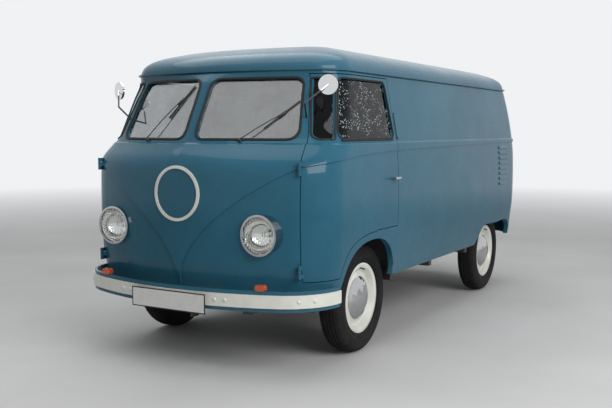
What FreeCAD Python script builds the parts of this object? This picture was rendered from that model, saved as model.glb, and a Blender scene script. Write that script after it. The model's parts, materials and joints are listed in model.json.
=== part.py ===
import FreeCAD
import Part
import os
from math import asin, atan2, cos, degrees, hypot, pi, radians, sin, sqrt, tan

# Closed panel van with its engine at the back, in millimetres.
# Z is up, the nose faces -Y and the left side of the van is +X.

# Overall size of the body
BODY_WIDTH = 1700.0
BUMPER_FRONT_Y = -2044.0
NOSE_Y = -1950.0
TAIL_Y = 2032.0
ROOF_TOP = 1898.0

# Heights along the body side
SILL_Z = 445.0
WIDEST_Z = 880.0
BELT_Z = 1190.0
LEDGE_Z = 1292.0
GUTTER_Z = 1700.0

# How far the skin leans in at each height
SILL_TUCK = 36.0
BELT_TUCK = 4.0
GUTTER_TUCK = 104.0
LEAN_SOFT = 130.0
NOSE_TUCK = 26.0
SCREEN_RAKE = 0.56
SCREEN_FOOT_Z = 1175.0
SCREEN_SOFT = 50.0
SILL_SETBACK = 30.0
HEADER_SETBACK = 22.0
TAIL_LEAN = 112.0

# Plan of the body: round nose below, two flat screens meeting in a V above
NOSE_BOW = 1700.0
SCREEN_BOW = 4000.0
SCREEN_VEE = radians(11.0)
NOSE_CORNER = 300.0
GUTTER_CORNER = 235.0
ROOF_SLOPE = 1.5
TAIL_BOW = 2900.0
TAIL_CORNER = 270.0

# Wall and gaps
WALL = 36.0
ROOF_WALL = 24.0
GAP = 5.0
SEAT = 0.3
RUN = 0.05

# Running gear
WHEELBASE = 2400.0
FRONT_AXLE_Y = -1100.0
REAR_AXLE_Y = FRONT_AXLE_Y + WHEELBASE
TYRE_R = 335.0
TYRE_WIDTH = 150.0
RIM_R = 205.0
RIM_WIDTH = 120.0
TRACK_X = 685.0
KINGPIN_X = 610.0
SPINDLE_R = 18.0
HUBCAP_R = 132.0

# Doors and lids
SEAM_X = 706.0
SEAM_BREAK_Z = 1165.0
SEAM_SILL_X = 675.0
SEAM_TOP_X = 588.0
DOOR_TOP_Z = 1672.0
DOOR_REAR_Y = -790.0
DOOR_LOW_Z = 760.0
DOOR_STEP_Z = 530.0
CARGO_FRONT_Y = -560.0
CARGO_REAR_Y = 640.0
CARGO_LOW_Z = 500.0
CARGO_TOP_Z = 1610.0
TAIL_SEAM_Y = 1760.0
LID_HALF = 540.0
LID_LOW_Z = 500.0
LID_TOP_Z = 1150.0

# Windows
WINDOW_LOW_Z = 1310.0
WINDOW_TOP_Z = 1646.0
SCREEN_INNER_X = 42.0
SCREEN_LOW_X = 624.0
SCREEN_TOP_X = 562.0
GLASS = 5.0
GLASS_DEPTH = 10.0

# Floor and frame
FLOOR_Z = 470.0
FLOOR_PLATE = 24.0
ARCH_FLOOR_Z = 770.0
DECK_Z = 930.0
RAIL_X = 380.0
RAIL_HALF = 28.0
RAIL_LOW_Z = 325.0

BEYOND = 3000.0


def point(x, y, z):
    return FreeCAD.Vector(x, y, z)


def box(x_low, x_high, y_low, y_high, z_low, z_high):
    corner = point(x_low, y_low, z_low)
    return Part.makeBox(x_high - x_low, y_high - y_low, z_high - z_low, corner)


def rod(start, end, radius):
    axis = end.sub(start)
    return Part.makeCylinder(radius, axis.Length, start, axis)


def tube(start, end, radius, bore):
    return rod(start, end, radius).cut(rod(start, end, bore))


def prism(corners, sweep):
    outline = Part.makePolygon(corners + [corners[0]])
    return Part.Face(outline).extrude(sweep)


def side_prism(corners, x_low, x_high):
    return prism([point(x_low, y, z) for y, z in corners], point(x_high - x_low, 0, 0))


def front_prism(corners, y_low, y_high):
    return prism([point(x, y_low, z) for x, z in corners], point(0, y_high - y_low, 0))


def plan_prism(corners, z_low, z_high):
    return prism([point(x, y, z_low) for x, y in corners], point(0, 0, z_high - z_low))


def rounded(solid, axis, radius):
    edges = []
    for edge in solid.Edges:
        ends = [vertex.Point for vertex in edge.Vertexes]
        if len(ends) == 2:
            run = ends[1].sub(ends[0])
            if run.Length > 0 and abs(run.dot(axis)) / run.Length > 0.999:
                edges.append(edge)
    return solid.makeFillet(radius, edges)


def mirrored(shape):
    return shape.mirror(point(0, 0, 0), point(1, 0, 0))


def fused(shapes):
    whole = shapes[0]
    if len(shapes) > 1:
        whole = shapes[0].multiFuse(shapes[1:])
    return whole.removeSplitter()


def both_sides(shape):
    return [shape, mirrored(shape)]


def arc(start, middle, end):
    return Part.Arc(start, middle, end).toShape()


def ramp(z, z_low, z_high):
    share = min(1.0, max(0.0, (z - z_low) / (z_high - z_low)))
    return share * share * (3 - 2 * share)


def soft_rise(z, start, softness):
    climb = z - start
    return (climb + sqrt(climb * climb + softness * softness)) / 2


# Sections of the body shell

def half_width(z):
    tuck = SILL_TUCK * ((WIDEST_Z - min(z, WIDEST_Z)) / (WIDEST_Z - SILL_Z)) ** 2
    lean = GUTTER_TUCK * soft_rise(z, BELT_Z, LEAN_SOFT) / soft_rise(GUTTER_Z, BELT_Z, LEAN_SOFT)
    return BODY_WIDTH / 2 - tuck - lean


def nose_y(z):
    tuck = NOSE_TUCK * ((WIDEST_Z - min(z, WIDEST_Z)) / (WIDEST_Z - SILL_Z)) ** 2
    rake = SCREEN_RAKE * soft_rise(z, SCREEN_FOOT_Z, SCREEN_SOFT)
    sill = SILL_SETBACK * ramp(z, BELT_Z, WINDOW_LOW_Z)
    header = HEADER_SETBACK * ramp(z, WINDOW_TOP_Z, GUTTER_Z)
    return NOSE_Y + tuck + rake + sill + header


def tail_y(z):
    tuck = NOSE_TUCK * ((WIDEST_Z - min(z, WIDEST_Z)) / (WIDEST_Z - SILL_Z)) ** 2
    lean = TAIL_LEAN * (max(0.0, z - BELT_Z) / (GUTTER_Z - BELT_Z)) ** 2
    return TAIL_Y - tuck - lean


def plan_wire(z, half, front, back, bow, vee, front_corner, back_corner, inset):
    offset = bow * sin(vee)
    bow_y = front + bow * cos(vee)
    front_x = half - front_corner
    front_y = bow_y - sqrt((bow - front_corner) ** 2 - (front_x + offset) ** 2)
    spread = atan2(front_x + offset, bow_y - front_y)
    nose_r = bow - inset
    tip = point(0, bow_y - sqrt(nose_r ** 2 - offset ** 2), z)
    tip_angle = asin(offset / nose_r)

    def nose_point(angle):
        return point(nose_r * sin(angle) - offset, bow_y - nose_r * cos(angle), z)

    def corner_point(angle):
        radius = front_corner - inset
        return point(front_x + radius * sin(angle), front_y - radius * cos(angle), z)

    tail_bow_y = back - TAIL_BOW
    back_x = half - back_corner
    back_y = tail_bow_y + sqrt((TAIL_BOW - back_corner) ** 2 - back_x ** 2)
    tail_spread = atan2(back_x, back_y - tail_bow_y)

    def tail_point(angle):
        radius = TAIL_BOW - inset
        return point(radius * sin(angle), tail_bow_y + radius * cos(angle), z)

    def tail_corner_point(angle):
        radius = back_corner - inset
        return point(back_x + radius * sin(angle), back_y + radius * cos(angle), z)

    half_turn = pi / 2
    left = [
        arc(tip, nose_point((tip_angle + spread) / 2), nose_point(spread)),
        arc(nose_point(spread), corner_point((spread + half_turn) / 2), corner_point(half_turn)),
        Part.LineSegment(corner_point(half_turn), tail_corner_point(half_turn)).toShape(),
        arc(tail_corner_point(half_turn), tail_corner_point((tail_spread + half_turn) / 2),
            tail_corner_point(tail_spread)),
        arc(tail_point(tail_spread), tail_point(tail_spread / 2), tail_point(0)),
    ]
    right = [mirrored(edge) for edge in reversed(left)]
    return Part.Wire(Part.__sortEdges__(left + right))


def body_wire(z, inset):
    upper = ramp(z, BELT_Z - 70.0, WINDOW_LOW_Z + 20.0) * (1 - ramp(z, WINDOW_TOP_Z - 10.0, GUTTER_Z + 10.0))
    bow = 1.0 / ((1 - upper) / NOSE_BOW + upper / SCREEN_BOW)
    corner = NOSE_CORNER + (GUTTER_CORNER - NOSE_CORNER) * ramp(z, BELT_Z, GUTTER_Z)
    return plan_wire(z, half_width(z), nose_y(z), tail_y(z), bow, SCREEN_VEE * upper,
                     corner, TAIL_CORNER - NOSE_CORNER + corner, inset)


BODY_LEVELS = [SILL_Z - 20.0, 560.0, 720.0, WIDEST_Z, 1010.0, 1100.0, 1160.0, 1215.0, 1270.0, 1330.0,
               1400.0, 1490.0, 1580.0, 1640.0, 1670.0, GUTTER_Z]


def body_loft(inset):
    return Part.makeLoft([body_wire(z, inset) for z in BODY_LEVELS], True, False)


# Roof dome over the gutter: every level keeps the plan of the gutter but shrinks

def roof_loft(inset, top):
    rise = top - GUTTER_Z
    half = half_width(GUTTER_Z) - inset
    front = nose_y(GUTTER_Z) + inset
    back = tail_y(GUTTER_Z) - inset
    wires = []
    for height in (0.0, 0.3, 0.55, 0.75, 0.88, 0.96, 0.992):
        keep = sqrt(1 - height ** 2.4)
        shrink = half * (1 - keep)
        wires.append(plan_wire(GUTTER_Z + rise * height, half * keep, front + ROOF_SLOPE * shrink, back - shrink,
                               NOSE_BOW - inset, 0.0, (GUTTER_CORNER - inset) * keep,
                               (GUTTER_CORNER - 30.0 - inset) * keep, 0.0))
    return Part.makeLoft(wires, True, False)


skins = {}


def skin(inset):
    if inset not in skins:
        skins[inset] = body_loft(inset)
    return skins[inset]


outer = skin(0.0)
inner = skin(WALL)
cabin = skin(WALL + SEAT)
shell = outer.cut(inner)


# Wheel openings, seen from the side

def arch(points):
    ends = [point(-BEYOND, points[0][0], 0), point(-BEYOND, points[-1][0], 0)]
    curve = Part.BSplineCurve()
    curve.interpolate([point(-BEYOND, y, z) for y, z in points])
    wire = Part.Wire([Part.LineSegment(ends[0], point(-BEYOND, *points[0])).toShape(),
                      curve.toShape(),
                      Part.LineSegment(point(-BEYOND, *points[-1]), ends[1]).toShape(),
                      Part.LineSegment(ends[1], ends[0]).toShape()])
    return Part.Face(wire).extrude(point(2 * BEYOND, 0, 0))


def front_arch(margin):
    top = 2 * TYRE_R + 38.0 + margin
    rear = FRONT_AXLE_Y + TYRE_R - 48.0 + margin
    front = FRONT_AXLE_Y - TYRE_R - 110.0 - margin
    return arch([(rear, 430.0), (rear - 6.0, 545.0), (rear - 90.0, 650.0 + margin * 0.8),
                 (FRONT_AXLE_Y + 59.0, top - 6.0), (FRONT_AXLE_Y - 50.0, top), (FRONT_AXLE_Y - 146.0, top - 9.0),
                 (front + 144.0 - margin * 0.3, 636.0 + margin * 0.7), (front + 22.0, 473.0), (front, 430.0)])


def rear_arch(margin):
    top = 586.0 + margin
    front = REAR_AXLE_Y - TYRE_R - 190.0 - margin
    rear = REAR_AXLE_Y + TYRE_R + 68.0 + margin
    return arch([(front, 430.0), (front + 110.0, 505.0 + margin * 0.6), (front + 210.0, top - 12.0),
                 (REAR_AXLE_Y - 150.0, top), (REAR_AXLE_Y + 150.0, top),
                 (rear - 80.0, top - 10.0), (rear - 20.0, 540.0), (rear, 430.0)])


ARCH_LIP = 46.0
front_opening = front_arch(0.0)
rear_opening = rear_arch(0.0)
front_lip = front_arch(ARCH_LIP)


# External hinges: the fixed half carries the pin, the moving half has two eyes round it

DOOR_HINGES = (590.0, 1150.0)
CARGO_HINGES = (640.0, 1150.0)
HINGE_OUT = 14.0
HINGE_R = 10.0
HINGE_PIN_R = 4.0
HINGE_EYE = 24.0
HINGE_REACH = 26.0


def leaf(pivot, foot, low, high):
    run = FreeCAD.Vector(foot.x - pivot.x, foot.y - pivot.y, 0)
    side = FreeCAD.Vector(-run.y, run.x, 0).normalize().multiply(HINGE_PIN_R + 1.0)
    corners = [pivot.add(side), foot.add(side), foot.sub(side), pivot.sub(side)]
    return plan_prism([(corner.x, corner.y) for corner in corners], low, high)


def hinge(pivot, fixed_foot, moving_foot):
    half = HINGE_EYE / 2
    z = pivot.z
    up = point(0, 0, 1)

    def eye(low, high):
        return Part.makeCylinder(HINGE_R, high - low, point(pivot.x, pivot.y, low), up)

    pin = Part.makeCylinder(HINGE_PIN_R, 3 * HINGE_EYE, point(pivot.x, pivot.y, z - 1.5 * HINGE_EYE), up)
    hole = Part.makeCylinder(HINGE_PIN_R + RUN, 4 * HINGE_EYE, point(pivot.x, pivot.y, z - 2 * HINGE_EYE), up)
    fixed = fused([eye(z - half, z + half), leaf(pivot, fixed_foot, z - half, z + half), pin])
    moving = []
    for low in (z - 1.5 * HINGE_EYE, z + half + 1.0):
        high = low + HINGE_EYE - 1.0
        moving.append(eye(low, high).fuse(leaf(pivot, moving_foot, low, high)).cut(hole))
    return fixed, moving


def hinge_pair(seam, outward, along, heights):
    pivot = seam.add(FreeCAD.Vector(outward).multiply(HINGE_OUT))
    inward = FreeCAD.Vector(outward).multiply(-34.0)
    halves = []
    for z in heights:
        shift = point(0, 0, z)
        fixed_foot = seam.add(inward).sub(FreeCAD.Vector(along).multiply(HINGE_REACH))
        moving_foot = seam.add(inward).add(FreeCAD.Vector(along).multiply(HINGE_REACH + GAP))
        halves.append(hinge(pivot.add(shift), fixed_foot.add(shift), moving_foot.add(shift)))
    fixed = [half[0] for half in halves]
    moving = halves[0][1] + halves[1][1]
    return fixed, moving


# Regions that share the shell out among its panels

def door_region(gap):
    seam = front_prism([(SEAM_X + gap, 0), (SEAM_X + gap, SEAM_BREAK_Z), (SEAM_SILL_X + gap, LEDGE_Z),
                        (SEAM_TOP_X + gap, GUTTER_Z),
                        (SEAM_TOP_X + gap, BEYOND), (BEYOND, BEYOND), (BEYOND, 0)], -BEYOND, 0)
    step_y = FRONT_AXLE_Y
    sides = side_prism([(-BEYOND, DOOR_STEP_Z - GAP + gap), (step_y, DOOR_STEP_Z - GAP + gap),
                        (step_y, DOOR_LOW_Z - GAP + gap), (DOOR_REAR_Y + GAP - gap, DOOR_LOW_Z - GAP + gap),
                        (DOOR_REAR_Y + GAP - gap, DOOR_TOP_Z + GAP - gap), (-BEYOND, DOOR_TOP_Z + GAP - gap)],
                       0, BEYOND)
    return seam.common(sides).cut(front_arch(ARCH_LIP - GAP + gap))


def cargo_region(gap):
    side = side_prism([(CARGO_FRONT_Y - GAP + gap, CARGO_LOW_Z - GAP + gap),
                       (CARGO_REAR_Y + GAP - gap, CARGO_LOW_Z - GAP + gap),
                       (CARGO_REAR_Y + GAP - gap, CARGO_TOP_Z + GAP - gap),
                       (CARGO_FRONT_Y - GAP + gap, CARGO_TOP_Z + GAP - gap)], -BEYOND, 0)
    return side


def lid_region(gap):
    half = LID_HALF + GAP - gap
    solid = box(-half, half, TAIL_SEAM_Y, BEYOND, LID_LOW_Z - GAP + gap, LID_TOP_Z + GAP - gap)
    return rounded(solid, point(0, 1, 0), 60.0)


def nose_region():
    return front_prism([(SEAM_X, 0), (SEAM_X, SEAM_BREAK_Z), (SEAM_SILL_X, LEDGE_Z), (SEAM_TOP_X, GUTTER_Z),
                        (SEAM_TOP_X, BEYOND), (-SEAM_TOP_X, BEYOND), (-SEAM_TOP_X, GUTTER_Z),
                        (-SEAM_SILL_X, LEDGE_Z), (-SEAM_X, SEAM_BREAK_Z), (-SEAM_X, 0)], -BEYOND, FRONT_AXLE_Y)


# Windows cut through the shell

def screen_region(gap):
    solid = front_prism([(SCREEN_INNER_X + gap, WINDOW_LOW_Z + gap), (SCREEN_LOW_X - gap, WINDOW_LOW_Z + gap),
                         (SCREEN_TOP_X - gap, WINDOW_TOP_Z - gap), (SCREEN_INNER_X + gap, WINDOW_TOP_Z - gap)],
                        -BEYOND, -1000.0)
    return rounded(solid, point(0, 1, 0), 55.0 - gap)


QUARTER_LOW_Y = -1630.0
QUARTER_TOP_Y = -1486.0
QUARTER_WIDTH = 92.0
BAR_WIDTH = 24.0
BAR_LEAN = 130.0
QUARTER_FRAME = 16.0


def quarter_region(gap):
    low_rear = QUARTER_LOW_Y + QUARTER_WIDTH
    solid = side_prism([(QUARTER_LOW_Y + gap, WINDOW_LOW_Z + gap), (QUARTER_TOP_Y + gap, WINDOW_TOP_Z - gap),
                        (low_rear + BAR_LEAN - gap, WINDOW_TOP_Z - gap), (low_rear - gap, WINDOW_LOW_Z + gap)],
                       0, BEYOND)
    return rounded(solid, point(1, 0, 0), 20.0 - gap).common(door_region(QUARTER_FRAME + gap))


def door_window_region(gap):
    low_front = QUARTER_LOW_Y + QUARTER_WIDTH + BAR_WIDTH
    low_rear = DOOR_REAR_Y - 30.0
    solid = side_prism([(low_front + gap, WINDOW_LOW_Z + gap), (low_front + BAR_LEAN + gap, WINDOW_TOP_Z - gap),
                        (low_rear - 24.0 - gap, WINDOW_TOP_Z - gap), (low_rear - gap, WINDOW_LOW_Z + gap)],
                       0, BEYOND)
    return rounded(solid, point(1, 0, 0), 36.0 - gap)


REAR_WINDOW_HALF = 420.0


def rear_window_region(gap):
    solid = box(-REAR_WINDOW_HALF + gap, REAR_WINDOW_HALF - gap, TAIL_SEAM_Y, BEYOND,
                WINDOW_LOW_Z + gap, WINDOW_TOP_Z - 30.0 - gap)
    return rounded(solid, point(0, 1, 0), 70.0 - gap)


def proud(region, rise):
    return skin(-rise).common(region).cut(outer)


glass_skin = skin(GLASS_DEPTH).cut(skin(GLASS_DEPTH + GLASS))

# Raised band under the windows; its lower edge dips into a V on the nose

BELT_RISE = 9.0
LEDGE_SLOPE = 20.0
LEDGE_BITE = 5.0
VEE_LOW_Z = 484.0
VEE_HIGH_Z = 1157.0
VEE_CURVE = 1.89
CREASE_DROP = 36.0
CREASE_SLOPE = 32.0
CREASE_CORNER = 67.0


def curve_through(points):
    curve = Part.BSplineCurve()
    curve.interpolate(points)
    return curve.toShape()


def closed_face(edges):
    return Part.Face(Part.Wire(Part.__sortEdges__(edges)))


def vee_region():
    steps = 16
    line = []
    for step in range(steps + 1):
        share = step / steps
        x = SEAM_X * share ** VEE_CURVE
        line.append(point(x, -BEYOND, VEE_LOW_Z + (VEE_HIGH_Z - VEE_LOW_Z) * share))
    top_inner = point(0, -BEYOND, LEDGE_Z)
    top_outer = point(SEAM_X, -BEYOND, LEDGE_Z)
    edges = [curve_through(line), Part.LineSegment(line[-1], top_outer).toShape(),
             Part.LineSegment(top_outer, top_inner).toShape(), Part.LineSegment(top_inner, line[0]).toShape()]
    return closed_face(edges).extrude(point(0, BEYOND + FRONT_AXLE_Y, 0))


def crease_region():
    steps = 20
    front = NOSE_Y
    line = []
    for step in range(steps + 1):
        y = front + (TAIL_Y + 20.0 - front) * step / steps
        share = min(1.06, max(0.0, (TAIL_SEAM_Y - y) / (TAIL_SEAM_Y - door_seam_y)))
        drop = CREASE_DROP + CREASE_SLOPE * share + CREASE_CORNER * share ** 10
        line.append(point(-BEYOND, y, LEDGE_Z - drop))
    top_front = point(-BEYOND, front, LEDGE_Z)
    top_rear = point(-BEYOND, TAIL_Y + 20.0, LEDGE_Z)
    edges = [curve_through(line), Part.LineSegment(line[-1], top_rear).toShape(),
             Part.LineSegment(top_rear, top_front).toShape(), Part.LineSegment(top_front, line[0]).toShape()]
    return closed_face(edges).extrude(point(2 * BEYOND, 0, 0)).cut(
        box(-SEAM_X, SEAM_X, -BEYOND, FRONT_AXLE_Y, 0, BEYOND))


corner_x = BODY_WIDTH / 2 - NOSE_CORNER
corner_y = NOSE_Y + NOSE_BOW - sqrt((NOSE_BOW - NOSE_CORNER) ** 2 - corner_x ** 2)
door_seam_y = corner_y - sqrt(NOSE_CORNER ** 2 - (SEAM_X - corner_x) ** 2)
vee = vee_region()
slope_foot_z = LEDGE_Z - LEDGE_SLOPE
below_slope = box(-BEYOND, BEYOND, -BEYOND, BEYOND, 0, slope_foot_z)
slope = Part.makeLoft([body_wire(slope_foot_z, -BELT_RISE - LEDGE_BITE), body_wire(LEDGE_Z, LEDGE_BITE)], True, True)
band = skin(-BELT_RISE).common(below_slope.fuse(slope))
belt = band.common(fused([vee, mirrored(vee), crease_region()])).cut(skin(GLASS_DEPTH))
shell = shell.fuse(belt)

# Lamps set in the nose

LAMP_X = 517.0
LAMP_Z = 790.0
LAMP_R = 114.0
LAMP_Y = -1915.0
lamp_front = point(LAMP_X, LAMP_Y, LAMP_Z)
lamp_back = point(LAMP_X, LAMP_Y + 130.0, LAMP_Z)
lamp_hole = rod(point(LAMP_X, -BEYOND, LAMP_Z), lamp_back, LAMP_R - 6.0 + SEAT)

# Panels of the shell

lower_box = box(-BEYOND, BEYOND, -BEYOND, BEYOND, SILL_Z, DOOR_TOP_Z + GAP)
body_side = shell.common(lower_box).cut(front_opening).cut(rear_opening)
left_door_gap = door_region(0.0)
right_door_gap = mirrored(left_door_gap)
screens = screen_region(0.0)

nose_zone = nose_region()
step_zone = box(-BEYOND, BEYOND, -BEYOND, FRONT_AXLE_Y, 0, DOOR_STEP_Z - GAP).cut(front_lip)
nose = body_side.common(fused([nose_zone, step_zone]))
for cutter in both_sides(left_door_gap) + both_sides(screens) + both_sides(lamp_hole):
    nose = nose.cut(cutter)

door_shell = body_side.common(door_region(GAP))
door = door_shell.cut(quarter_region(0.0)).cut(door_window_region(0.0))
door_glass = [glass_skin.common(quarter_region(SEAT)), glass_skin.common(door_window_region(SEAT))]

tail_zone = box(-BEYOND, BEYOND, TAIL_SEAM_Y, BEYOND, 0, BEYOND)
lid = body_side.common(lid_region(GAP))
tail = body_side.common(tail_zone).cut(lid_region(0.0)).cut(rear_window_region(0.0))

side_zone = box(0, BEYOND, -BEYOND, TAIL_SEAM_Y, 0, BEYOND)
side = body_side.common(side_zone).cut(nose_zone).cut(step_zone).cut(left_door_gap)
left_side = side
right_side = mirrored(side).cut(cargo_region(0.0))
cargo_middle = (CARGO_FRONT_Y + CARGO_REAR_Y) / 2
cargo_doors = mirrored(side.common(mirrored(cargo_region(GAP))))
leaf_gap = plan_prism([(-BODY_WIDTH / 2, cargo_middle - GAP / 2), (-BODY_WIDTH / 2, cargo_middle + GAP / 2),
                       (-BODY_WIDTH / 2 + 150.0, cargo_middle + 10.5), (-BODY_WIDTH / 2 + 150.0, cargo_middle - 10.5)],
                      0, BEYOND)
leaf_gap = leaf_gap.fuse(box(-BEYOND, -BODY_WIDTH / 2, cargo_middle - GAP / 2, cargo_middle + GAP / 2, 0, BEYOND))
cargo_doors = cargo_doors.cut(leaf_gap)
cargo_front = cargo_doors.common(box(-BEYOND, 0, -BEYOND, cargo_middle, 0, BEYOND))
cargo_rear = cargo_doors.common(box(-BEYOND, 0, cargo_middle, BEYOND, 0, BEYOND))

# Air louvres at the back of each side: a tilted slat over each recess

LOUVRE_COUNT = 8
LOUVRE_PITCH = 43.0
LOUVRE_LOW_Z = 905.0
LOUVRE_FRONT_Y = 1330.0
LOUVRE_LONG = 235.0
LOUVRE_RISE = 11.0


def louvred(panel):
    slats = []
    for row in range(LOUVRE_COUNT):
        z = LOUVRE_LOW_Z + row * LOUVRE_PITCH
        skin_x = half_width(z)
        recess = box(skin_x - 14.0, BEYOND, LOUVRE_FRONT_Y + 8.0, LOUVRE_FRONT_Y + LOUVRE_LONG - 8.0, z - 9.0, z)
        panel = panel.cut(recess)
        slats.append(front_prism([(skin_x - 9.0, z - 6.0), (skin_x + LOUVRE_RISE, z - 6.0),
                                  (half_width(z + 26.0) - 1.0, z + 26.0), (skin_x - 9.0, z + 26.0)],
                                 LOUVRE_FRONT_Y, LOUVRE_FRONT_Y + LOUVRE_LONG))
    return fused([panel] + slats)


left_side = louvred(left_side)
right_side = mirrored(louvred(mirrored(right_side)))

# Hinges fused to the panels that they carry

seam_out = point(SEAM_X - corner_x, -sqrt(NOSE_CORNER ** 2 - (SEAM_X - corner_x) ** 2), 0).normalize()
door_seam = point(corner_x, corner_y, 0).add(FreeCAD.Vector(seam_out).multiply(NOSE_CORNER))
door_fixed, door_moving = hinge_pair(door_seam, seam_out, point(-seam_out.y, seam_out.x, 0), DOOR_HINGES)
nose = fused([nose] + door_fixed + [mirrored(half) for half in door_fixed])
door = fused([door] + door_moving)
right_skin = -BODY_WIDTH / 2
front_fixed, front_moving = hinge_pair(point(right_skin, CARGO_FRONT_Y, 0), point(-1, 0, 0), point(0, 1, 0),
                                       CARGO_HINGES)
rear_fixed, rear_moving = hinge_pair(point(right_skin, CARGO_REAR_Y, 0), point(-1, 0, 0), point(0, -1, 0),
                                     CARGO_HINGES)
right_side = fused([right_side] + front_fixed + rear_fixed)
cargo_front = fused([cargo_front] + front_moving)
cargo_rear = fused([cargo_rear] + rear_moving)

LID_HINGE_X = 300.0
LID_PIVOT_Y = TAIL_Y + 8.0
lid_fixed, lid_moving = hinge(point(0, 0, 0), point(-HINGE_REACH, -24.0, 0), point(HINGE_REACH + GAP, -24.0, 0))


def on_lid(shape, x):
    turned_shape = shape.copy()
    turned_shape.rotate(point(0, 0, 0), point(0, 1, 0), 90)
    turned_shape.translate(point(x, LID_PIVOT_Y, LID_TOP_Z + GAP / 2))
    return turned_shape


hinge_places = (-LID_HINGE_X, LID_HINGE_X)
tail = fused([tail] + [on_lid(lid_fixed, x) for x in hinge_places])
lid = fused([lid] + [on_lid(half, x) for x in hinge_places for half in lid_moving])

# Roof with its drip gutter

GUTTER_RISE = 17.0
GUTTER_HIGH = 10.0

dome = roof_loft(0.0, ROOF_TOP).cut(roof_loft(ROOF_WALL, ROOF_TOP - ROOF_WALL))
cant_rail = shell.common(box(-BEYOND, BEYOND, -BEYOND, BEYOND, DOOR_TOP_Z + GAP, GUTTER_Z))
gutter_plan = Part.Face(body_wire(GUTTER_Z, -GUTTER_RISE)).cut(Part.Face(body_wire(GUTTER_Z, ROOF_WALL / 2)))
gutter_plan.translate(point(0, 0, -GUTTER_HIGH / 2))
gutter = gutter_plan.extrude(point(0, 0, GUTTER_HIGH))
roof = fused([dome, cant_rail, gutter])

# Glass fixed in the shell

screen_glass = glass_skin.common(screen_region(SEAT))
rear_glass = glass_skin.common(rear_window_region(SEAT))
fixed_glass = Part.makeCompound(both_sides(screen_glass) + [rear_glass])

# Floors inside the shell

footwell_end = FRONT_AXLE_Y - TYRE_R - 66.0
arch_end = FRONT_AXLE_Y + TYRE_R + 110.0
deck_start = REAR_AXLE_Y - TYRE_R - 105.0
WELL_X = 416.0
HALF_SHAFT_Z = TYRE_R + 88.0
SHAFT_R = 34.0
SHAFT_GAP = 16.0
cab_parts = [
    box(-BEYOND, BEYOND, -BEYOND, footwell_end, FLOOR_Z - FLOOR_PLATE, FLOOR_Z),
    box(-BEYOND, BEYOND, footwell_end - FLOOR_PLATE, footwell_end, FLOOR_Z - FLOOR_PLATE, ARCH_FLOOR_Z),
    box(-BEYOND, BEYOND, footwell_end - FLOOR_PLATE, arch_end, ARCH_FLOOR_Z - FLOOR_PLATE, ARCH_FLOOR_Z),
    box(WELL_X, WELL_X + FLOOR_PLATE, footwell_end - FLOOR_PLATE, arch_end, FLOOR_Z - FLOOR_PLATE, ARCH_FLOOR_Z),
    box(-WELL_X - FLOOR_PLATE, -WELL_X, footwell_end - FLOOR_PLATE, arch_end, FLOOR_Z - FLOOR_PLATE, ARCH_FLOOR_Z),
]
cab_floor = fused(cab_parts).common(cabin)
load_parts = [
    box(-BEYOND, BEYOND, arch_end + SEAT, deck_start, FLOOR_Z - FLOOR_PLATE, FLOOR_Z),
    box(-BEYOND, BEYOND, deck_start - FLOOR_PLATE, deck_start, FLOOR_Z - FLOOR_PLATE, DECK_Z),
    box(-BEYOND, BEYOND, deck_start - FLOOR_PLATE, BEYOND, DECK_Z - FLOOR_PLATE, DECK_Z),
]
for side_x in (-1, 1):
    wall_low = min(side_x * 545.0, side_x * (545.0 + FLOOR_PLATE))
    load_parts.append(box(wall_low, wall_low + FLOOR_PLATE, deck_start - FLOOR_PLATE, BEYOND,
                          FLOOR_Z - FLOOR_PLATE, DECK_Z))
shaft_room = rod(point(-BEYOND, REAR_AXLE_Y, HALF_SHAFT_Z), point(BEYOND, REAR_AXLE_Y, HALF_SHAFT_Z),
                 SHAFT_R + SHAFT_GAP)
load_floor = fused(load_parts).common(cabin).cut(shaft_room)
BULKHEAD_TOP = 1300.0
bulkhead = box(-BEYOND, BEYOND, arch_end + SEAT, arch_end + SEAT + FLOOR_PLATE, FLOOR_Z + SEAT, BULKHEAD_TOP)
bulkhead = bulkhead.common(cabin)

# Chassis rails with cross members, clear of the twin axle tubes

TUBE_Y = FRONT_AXLE_Y - 150.0
TUBE_R = 30.0
TUBE_LOW_Z = TYRE_R - 62.0
TUBE_HIGH_Z = TYRE_R + 62.0
tube_ends = 500.0
axle_tubes = [rod(point(-tube_ends, TUBE_Y, z), point(tube_ends, TUBE_Y, z), TUBE_R)
              for z in (TUBE_LOW_Z, TUBE_HIGH_Z)]
rail_top = FLOOR_Z - FLOOR_PLATE - SEAT
frame_parts = []
for x in (-RAIL_X, RAIL_X):
    frame_parts.append(box(x - RAIL_HALF, x + RAIL_HALF, NOSE_Y + 132.0, TAIL_Y - 160.0, RAIL_LOW_Z, rail_top))
for y in (NOSE_Y + 150.0, FRONT_AXLE_Y + 420.0, 0.0, deck_start - 90.0):
    frame_parts.append(box(-RAIL_X, RAIL_X, y - 25.0, y + 25.0, RAIL_LOW_Z + 25.0, rail_top))
for y in (FRONT_AXLE_Y + 420.0, 0.0, deck_start - 90.0):
    frame_parts.append(box(-760.0, 760.0, y - 25.0, y + 25.0, rail_top - 60.0, rail_top))
frame = fused(frame_parts)
for z in (TUBE_LOW_Z, TUBE_HIGH_Z):
    frame = frame.cut(rod(point(-BEYOND, TUBE_Y, z), point(BEYOND, TUBE_Y, z), TUBE_R + SEAT))

# Front axle: trailing arms carry a forked upright on each side

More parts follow.
